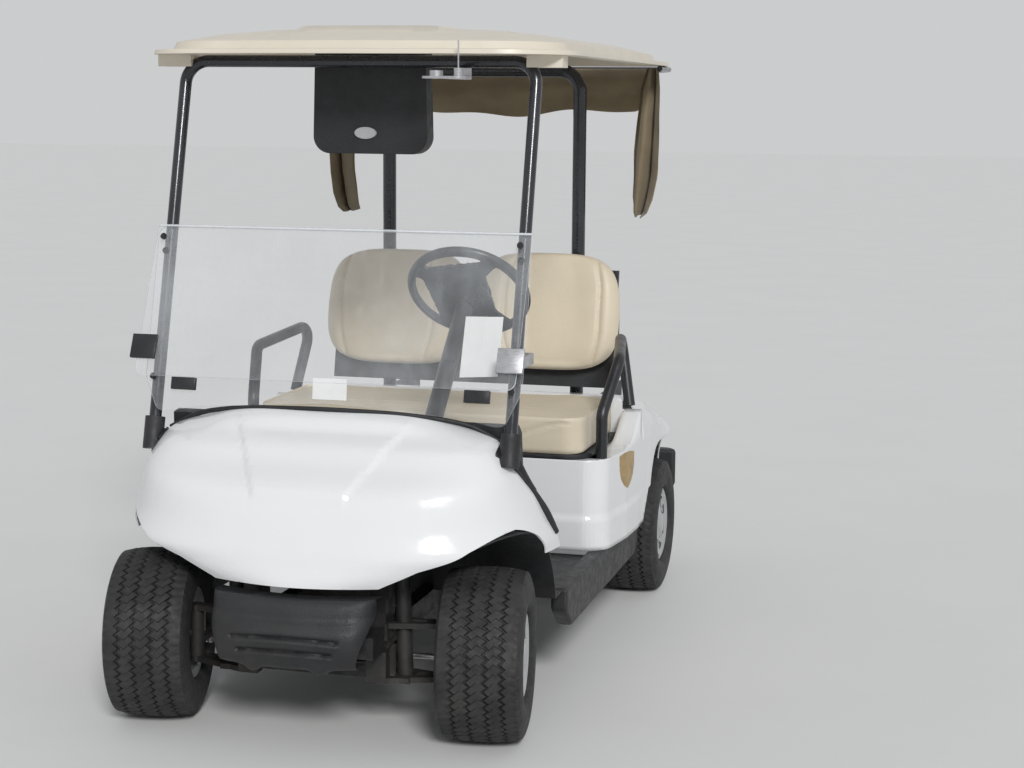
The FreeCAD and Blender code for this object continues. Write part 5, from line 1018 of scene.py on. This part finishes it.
def build_chassis():
    """The chassis without the ends of its rails, which the bumper hides."""
    bm = merged("chassis_frame")
    bmesh.ops.bisect_plane(bm, geom=bm.verts[:] + bm.edges[:] + bm.faces[:], dist=1e-6,
                           plane_co=(0, RAILS_END, 0), plane_no=(0, -1, 0), clear_outer=True)
    bmesh.ops.holes_fill(bm, edges=[edge for edge in bm.edges if edge.is_boundary])
    turned_out(bm)
    item = piece("chassis_rails", bm, body_of("chassis_frame"), "frame")
    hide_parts("chassis_frame")


# Steering wheel

RING = 0.1605
GRIP = 0.012
WHEEL_WINDOWS = [
    # direction from the right, half width in degrees, distance of its straight inner edge from the middle
    (188, 34, 0.112), (100, 34, 0.116), (2, 47, 0.066),
]


def build_steering_wheel():
    """A ring and a wide flat centre with three windows between them, over a short boss."""
    joint = JOINTS["steering_wheel_turn"]
    axis = Vector(joint["axis"]).normalized()
    across = Vector((1, 0, 0))
    bm = bmesh.new()
    ring = [tau * i / 14 for i in range(14)]
    ring = [(GRIP * sin(turn), RING + GRIP * cos(turn)) for turn in ring]
    lathe(bm, ring, 96, closed=True)
    plate = bmesh.new()
    rows = [(-0.002, 0.0005), (-0.002, 0.030), (0.000, 0.045), (0.001, 0.055)]
    rows += [(0.001 + 0.004 * i / 16, 0.060 + 0.0945 * i / 16) for i in range(1, 17)]
    lathe(plate, rows, 288)
    gone = []
    for item in plate.faces:
        place = item.calc_center_median()
        radius, heading = hypot(place.y, place.z), degrees(atan2(place.z, place.y))
        for centre, half, chord in WHEEL_WINDOWS:
            turn = (heading - centre + 180) % 360 - 180
            if abs(turn) < half and radius * cos(radians(turn)) > chord and radius < 0.151:
                gone.append(item)
                break
    bmesh.ops.delete(plate, geom=gone, context="FACES")
    outwards(plate)
    rims = [vert for vert in plate.verts
            if vert.is_boundary and 0.05 < hypot(vert.co.y, vert.co.z) < 0.1525]
    for _ in range(6):
        bmesh.ops.smooth_vert(plate, verts=rims, factor=0.5, use_axis_x=True, use_axis_y=True,
                              use_axis_z=True)
    thickened(plate, 0.009)
    lathe(plate, [(0.006, 0.0005), (0.006, 0.020), (0.050, 0.020), (0.050, 0.0005)], 32)
    lathe(plate, [(-0.004, 0.062), (-0.010, 0.056), (-0.013, 0.040), (-0.014, 0.0005)], 48)
    turned_out(plate)
    turn = Matrix((-axis, across, across.cross(axis))).transposed().to_4x4()
    turn = Matrix.Translation(joint["pos_m"]) @ turn
    for name, made, sharp in (("wheel_ring", bm, 60.0), ("wheel_centre", plate, 40.0)):
        bmesh.ops.transform(made, matrix=turn, verts=made.verts)
        turned_out(made)
        item = piece(name, made, "hand_wheel", "black", sharp=sharp)
        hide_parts("steering_wheel")


# Windscreen

PANE_TURN = 0.022


def build_pane(node, name):
    """A clear pane with rounded corners, its sawn edges made pale as a painted highlight."""
    bm = merged(node)
    shorts = [edge for edge in bm.edges if edge.is_manifold and edge.calc_length() < 0.010
              and edge.calc_face_angle(0) > radians(60)]
    rounded(bm, shorts, PANE_TURN, 6)
    outwards(bm)
    broad = max(bm.faces, key=lambda item: item.calc_area()).normal.copy()
    for item in bm.faces:
        # the narrow edge faces take the pale edge finish, a painted highlight
        item.material_index = 0 if abs(item.normal.dot(broad)) > 0.9 else 1
    item = piece(name, bm, body_of(node), "clear", "edge", sharp=30.0)
    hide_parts(node)


def build_fittings():
    """The windscreen's hinge strip, clips and latches, each in its own finish."""
    bm = merged("windshield_fittings")
    turned_out(bm)
    left = set(bm.faces)
    while left:
        island, front = set(), [left.pop()]
        while front:
            item = front.pop()
            island.add(item)
            near = {other for edge in item.edges for other in edge.link_faces if other in left}
            left -= near
            front += near
        xs = [vert.co.x for item in island for vert in item.verts]
        zs = [vert.co.z for item in island for vert in item.verts]
        # the wide hinge strip takes the same pale edge finish, the panes' painted highlight
        index = 1 if max(xs) - min(xs) > 0.5 else 0
        if min(zs) > 0.90 and max(zs) < 1.05 and min(xs) > 0.40:
            index = 2
        for item in island:
            item.material_index = index
    bevelled(bm, 0.0015, 2, 60.0)
    item = piece("screen_fittings", bm, "cart", "black", "edge", "steel")
    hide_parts("windshield_fittings")


# Stage and operators

SUN_PLACE = (2.2, -4.6, 3.1)
SUN_WIDTH = 14.0
CAMERA_PLACE = (1.6838, -5.5011, 1.5893)
CAMERA_TURN = (14.46, 8.16, -0.45)
CAMERA_LENS = 68.70
LIGHT_COLOUR = (0.95, 0.97, 1.0, 1.0)
VIEW_COLOUR = (0.60, 0.605, 0.61, 1.0)


def add_sun():
    """One wide soft light from the front, high up, turned to the cart."""
    light = bpy.data.lights.new("soft_sun", "SUN")
    light.energy = looks().sun_strength
    light.angle = radians(SUN_WIDTH)
    item = linked("soft_sun", light)
    item.location = SUN_PLACE
    item.rotation_euler = (-Vector(SUN_PLACE)).to_track_quat("-Z", "Y").to_euler()


def add_camera():
    """The camera at the photograph's place, turned as it was there."""
    camera = bpy.data.cameras.new("photo_camera")
    camera.sensor_width = 36.0
    camera.lens = CAMERA_LENS
    camera.clip_end = 200.0
    item = linked("photo_camera", camera)
    item.location = CAMERA_PLACE
    azimuth, elevation, roll = (radians(angle) for angle in CAMERA_TURN)
    back = Vector((sin(azimuth) * cos(elevation), -cos(azimuth) * cos(elevation),
                   sin(elevation)))
    item.rotation_mode = "QUATERNION"
    item.rotation_quaternion = back.to_track_quat("Z", "Y") @ Matrix.Rotation(-roll, 3, "Z").to_quaternion()
    bpy.context.scene.camera = item


def add_floor():
    """A wide pale floor."""
    bm = bmesh.new()
    bmesh.ops.create_grid(bm, x_segments=1, y_segments=1, size=60.0)
    mesh = bpy.data.meshes.new("floor")
    bm.to_mesh(mesh)
    bm.free()
    mesh.materials.append(Finish("floor_paper", (0.80, 0.80, 0.79), tone=(0.01, 1.5), Roughness=0.9).material)
    item = linked("floor", mesh)


def add_world():
    """A pale surround: a soft light, and near white where it is seen or mirrored."""
    world = bpy.data.worlds.new("surround")
    bpy.context.scene.world = world
    world.use_nodes = True
    tree = world.node_tree
    tree.nodes.clear()
    path = tree.nodes.new("ShaderNodeLightPath")
    seen = path.outputs["Is Camera Ray"]
    for ray in ("Is Glossy Ray", "Is Transmission Ray"):
        either = tree.nodes.new("ShaderNodeMath")
        either.operation = "MAXIMUM"
        tree.links.new(seen, either.inputs[0])
        tree.links.new(path.outputs[ray], either.inputs[1])
        seen = either.outputs["Value"]
    mix = tree.nodes.new("ShaderNodeMixShader")
    tree.links.new(seen, mix.inputs["Fac"])
    for socket, colour, strength in ((1, LIGHT_COLOUR, looks().sky_strength), (2, VIEW_COLOUR, 1.0)):
        light = tree.nodes.new("ShaderNodeBackground")
        light.inputs["Color"].default_value = colour
        light.inputs["Strength"].default_value = strength
        tree.links.new(light.outputs["Background"], mix.inputs[socket])
    output = tree.nodes.new("ShaderNodeOutputWorld")
    tree.links.new(mix.outputs["Shader"], output.inputs["Surface"])


class CART_OT_stage(bpy.types.Operator):
    """Adds the camera, the lamps, the floor and the surround"""

    bl_idname = "cart.stage"
    bl_label = "Stage"

    def execute(self, context):
        add_camera()
        add_floor()
        add_world()
        add_sun()
        context.scene.view_settings.view_transform = "Standard"
        return {"FINISHED"}


class CART_OT_tyres(bpy.types.Operator):
    """Builds the four tyres with their tread"""

    bl_idname = "cart.tyres"
    bl_label = "Tyres"

    def execute(self, context):
        for end_hand in WHEELS:
            build_tyre(end_hand)
            build_wheel_cover(end_hand)
            keep(f"wheel_{end_hand}", "silver")
        return {"FINISHED"}


class CART_OT_seats(bpy.types.Operator):
    """Builds the bench cushion and the two seat backs"""

    bl_idname = "cart.seats"
    bl_label = "Seats"

    def execute(self, context):
        for hand, side in HANDS:
            build_seat_back(hand, side)
        build_seat_cushion()
        build_seat_trim()
        return {"FINISHED"}


class CART_OT_shells(bpy.types.Operator):
    """Builds the moulded shells with rounded edges"""

    bl_idname = "cart.shells"
    bl_label = "Shells"

    def execute(self, context):
        build_cowl()
        build_cowl_edge()
        build_body()
        build_bumper()
        build_chassis()
        for hand, side in HANDS:
            build_cover_side(hand, side)
        build_cover_back()
        softened("roof", "roof_shell", "roof", 0.004)
        for node, name, width in (
            ("display_housing", "display_case", 0.006),
            ("sills", "sill_mouldings", 0.008), ("rear_bumper", "tail_bumper", 0.012),
            ("dash", "dash_moulding", 0.005), ("front_liner", "wheel_wells", 0.002),
        ):
            softened(node, name, "grained", width)
        return {"FINISHED"}


KEPT = {
    "grained": ("floor_pan", "bag_well", "seat_back_support", "sweater_basket"),
    "black": ("hip_restraints", "steering_column", "pedals"),
    "tube": ("front_posts", "rear_posts", "bag_rack", "cover_hoop"),
    "roof": ("roof_brackets",),
    "frame": ("front_suspension", "rear_suspension"),
    "iron": ("rear_axle", "engine_block", "knuckle_left", "knuckle_right"),
    "steel": ("tie_rod", "antenna"),
    "rubber": ("post_boots",),
}


class CART_OT_controls(bpy.types.Operator):
    """Builds the steering wheel and the windscreen"""

    bl_idname = "cart.controls"
    bl_label = "Steering wheel and screen"

    def execute(self, context):
        build_steering_wheel()
        build_pane("windshield_lower", "screen_lower")
        build_pane("windshield_upper", "screen_upper")
        build_fittings()
        build_papers()
        build_badge()
        build_oval()
        build_screws()
        return {"FINISHED"}


class CART_OT_kept(bpy.types.Operator):
    """Gives the solids that stay as they are their finishes"""

    bl_idname = "cart.kept"
    bl_label = "Kept solids"

    def execute(self, context):
        for finish_name, nodes in KEPT.items():
            for node in nodes:
                keep(node, finish_name)
        return {"FINISHED"}


class CART_PT_panel(bpy.types.Panel):
    """The cart's pieces, in the order they are built"""

    bl_idname = "CART_PT_panel"
    bl_label = "Golf Cart"
    bl_space_type = "VIEW_3D"
    bl_region_type = "UI"
    bl_category = "Golf Cart"

    def draw(self, context):
        column = self.layout.column()
        for name in CartLooks.__annotations__:
            column.prop(context.scene.cart_looks, name)
        for operator in OPERATORS:
            column.operator(operator.bl_idname)


OPERATORS = (CART_OT_shells, CART_OT_tyres, CART_OT_seats, CART_OT_controls, CART_OT_kept, CART_OT_stage)
CLASSES = (CartLooks, *OPERATORS, CART_PT_panel)


def register():
    """Registers the classes and the scene's settings."""
    for item in CLASSES:
        bpy.utils.register_class(item)
    bpy.types.Scene.cart_looks = bpy.props.PointerProperty(type=CartLooks)


def unregister():
    """Takes them away again."""
    del bpy.types.Scene.cart_looks
    for item in reversed(CLASSES):
        bpy.utils.unregister_class(item)


def main():
    """Registers the classes and builds everything."""
    register()
    for operator in OPERATORS:
        group, name = operator.bl_idname.split(".")
        getattr(getattr(bpy.ops, group), name)()


if __name__ == "__main__":
    main()
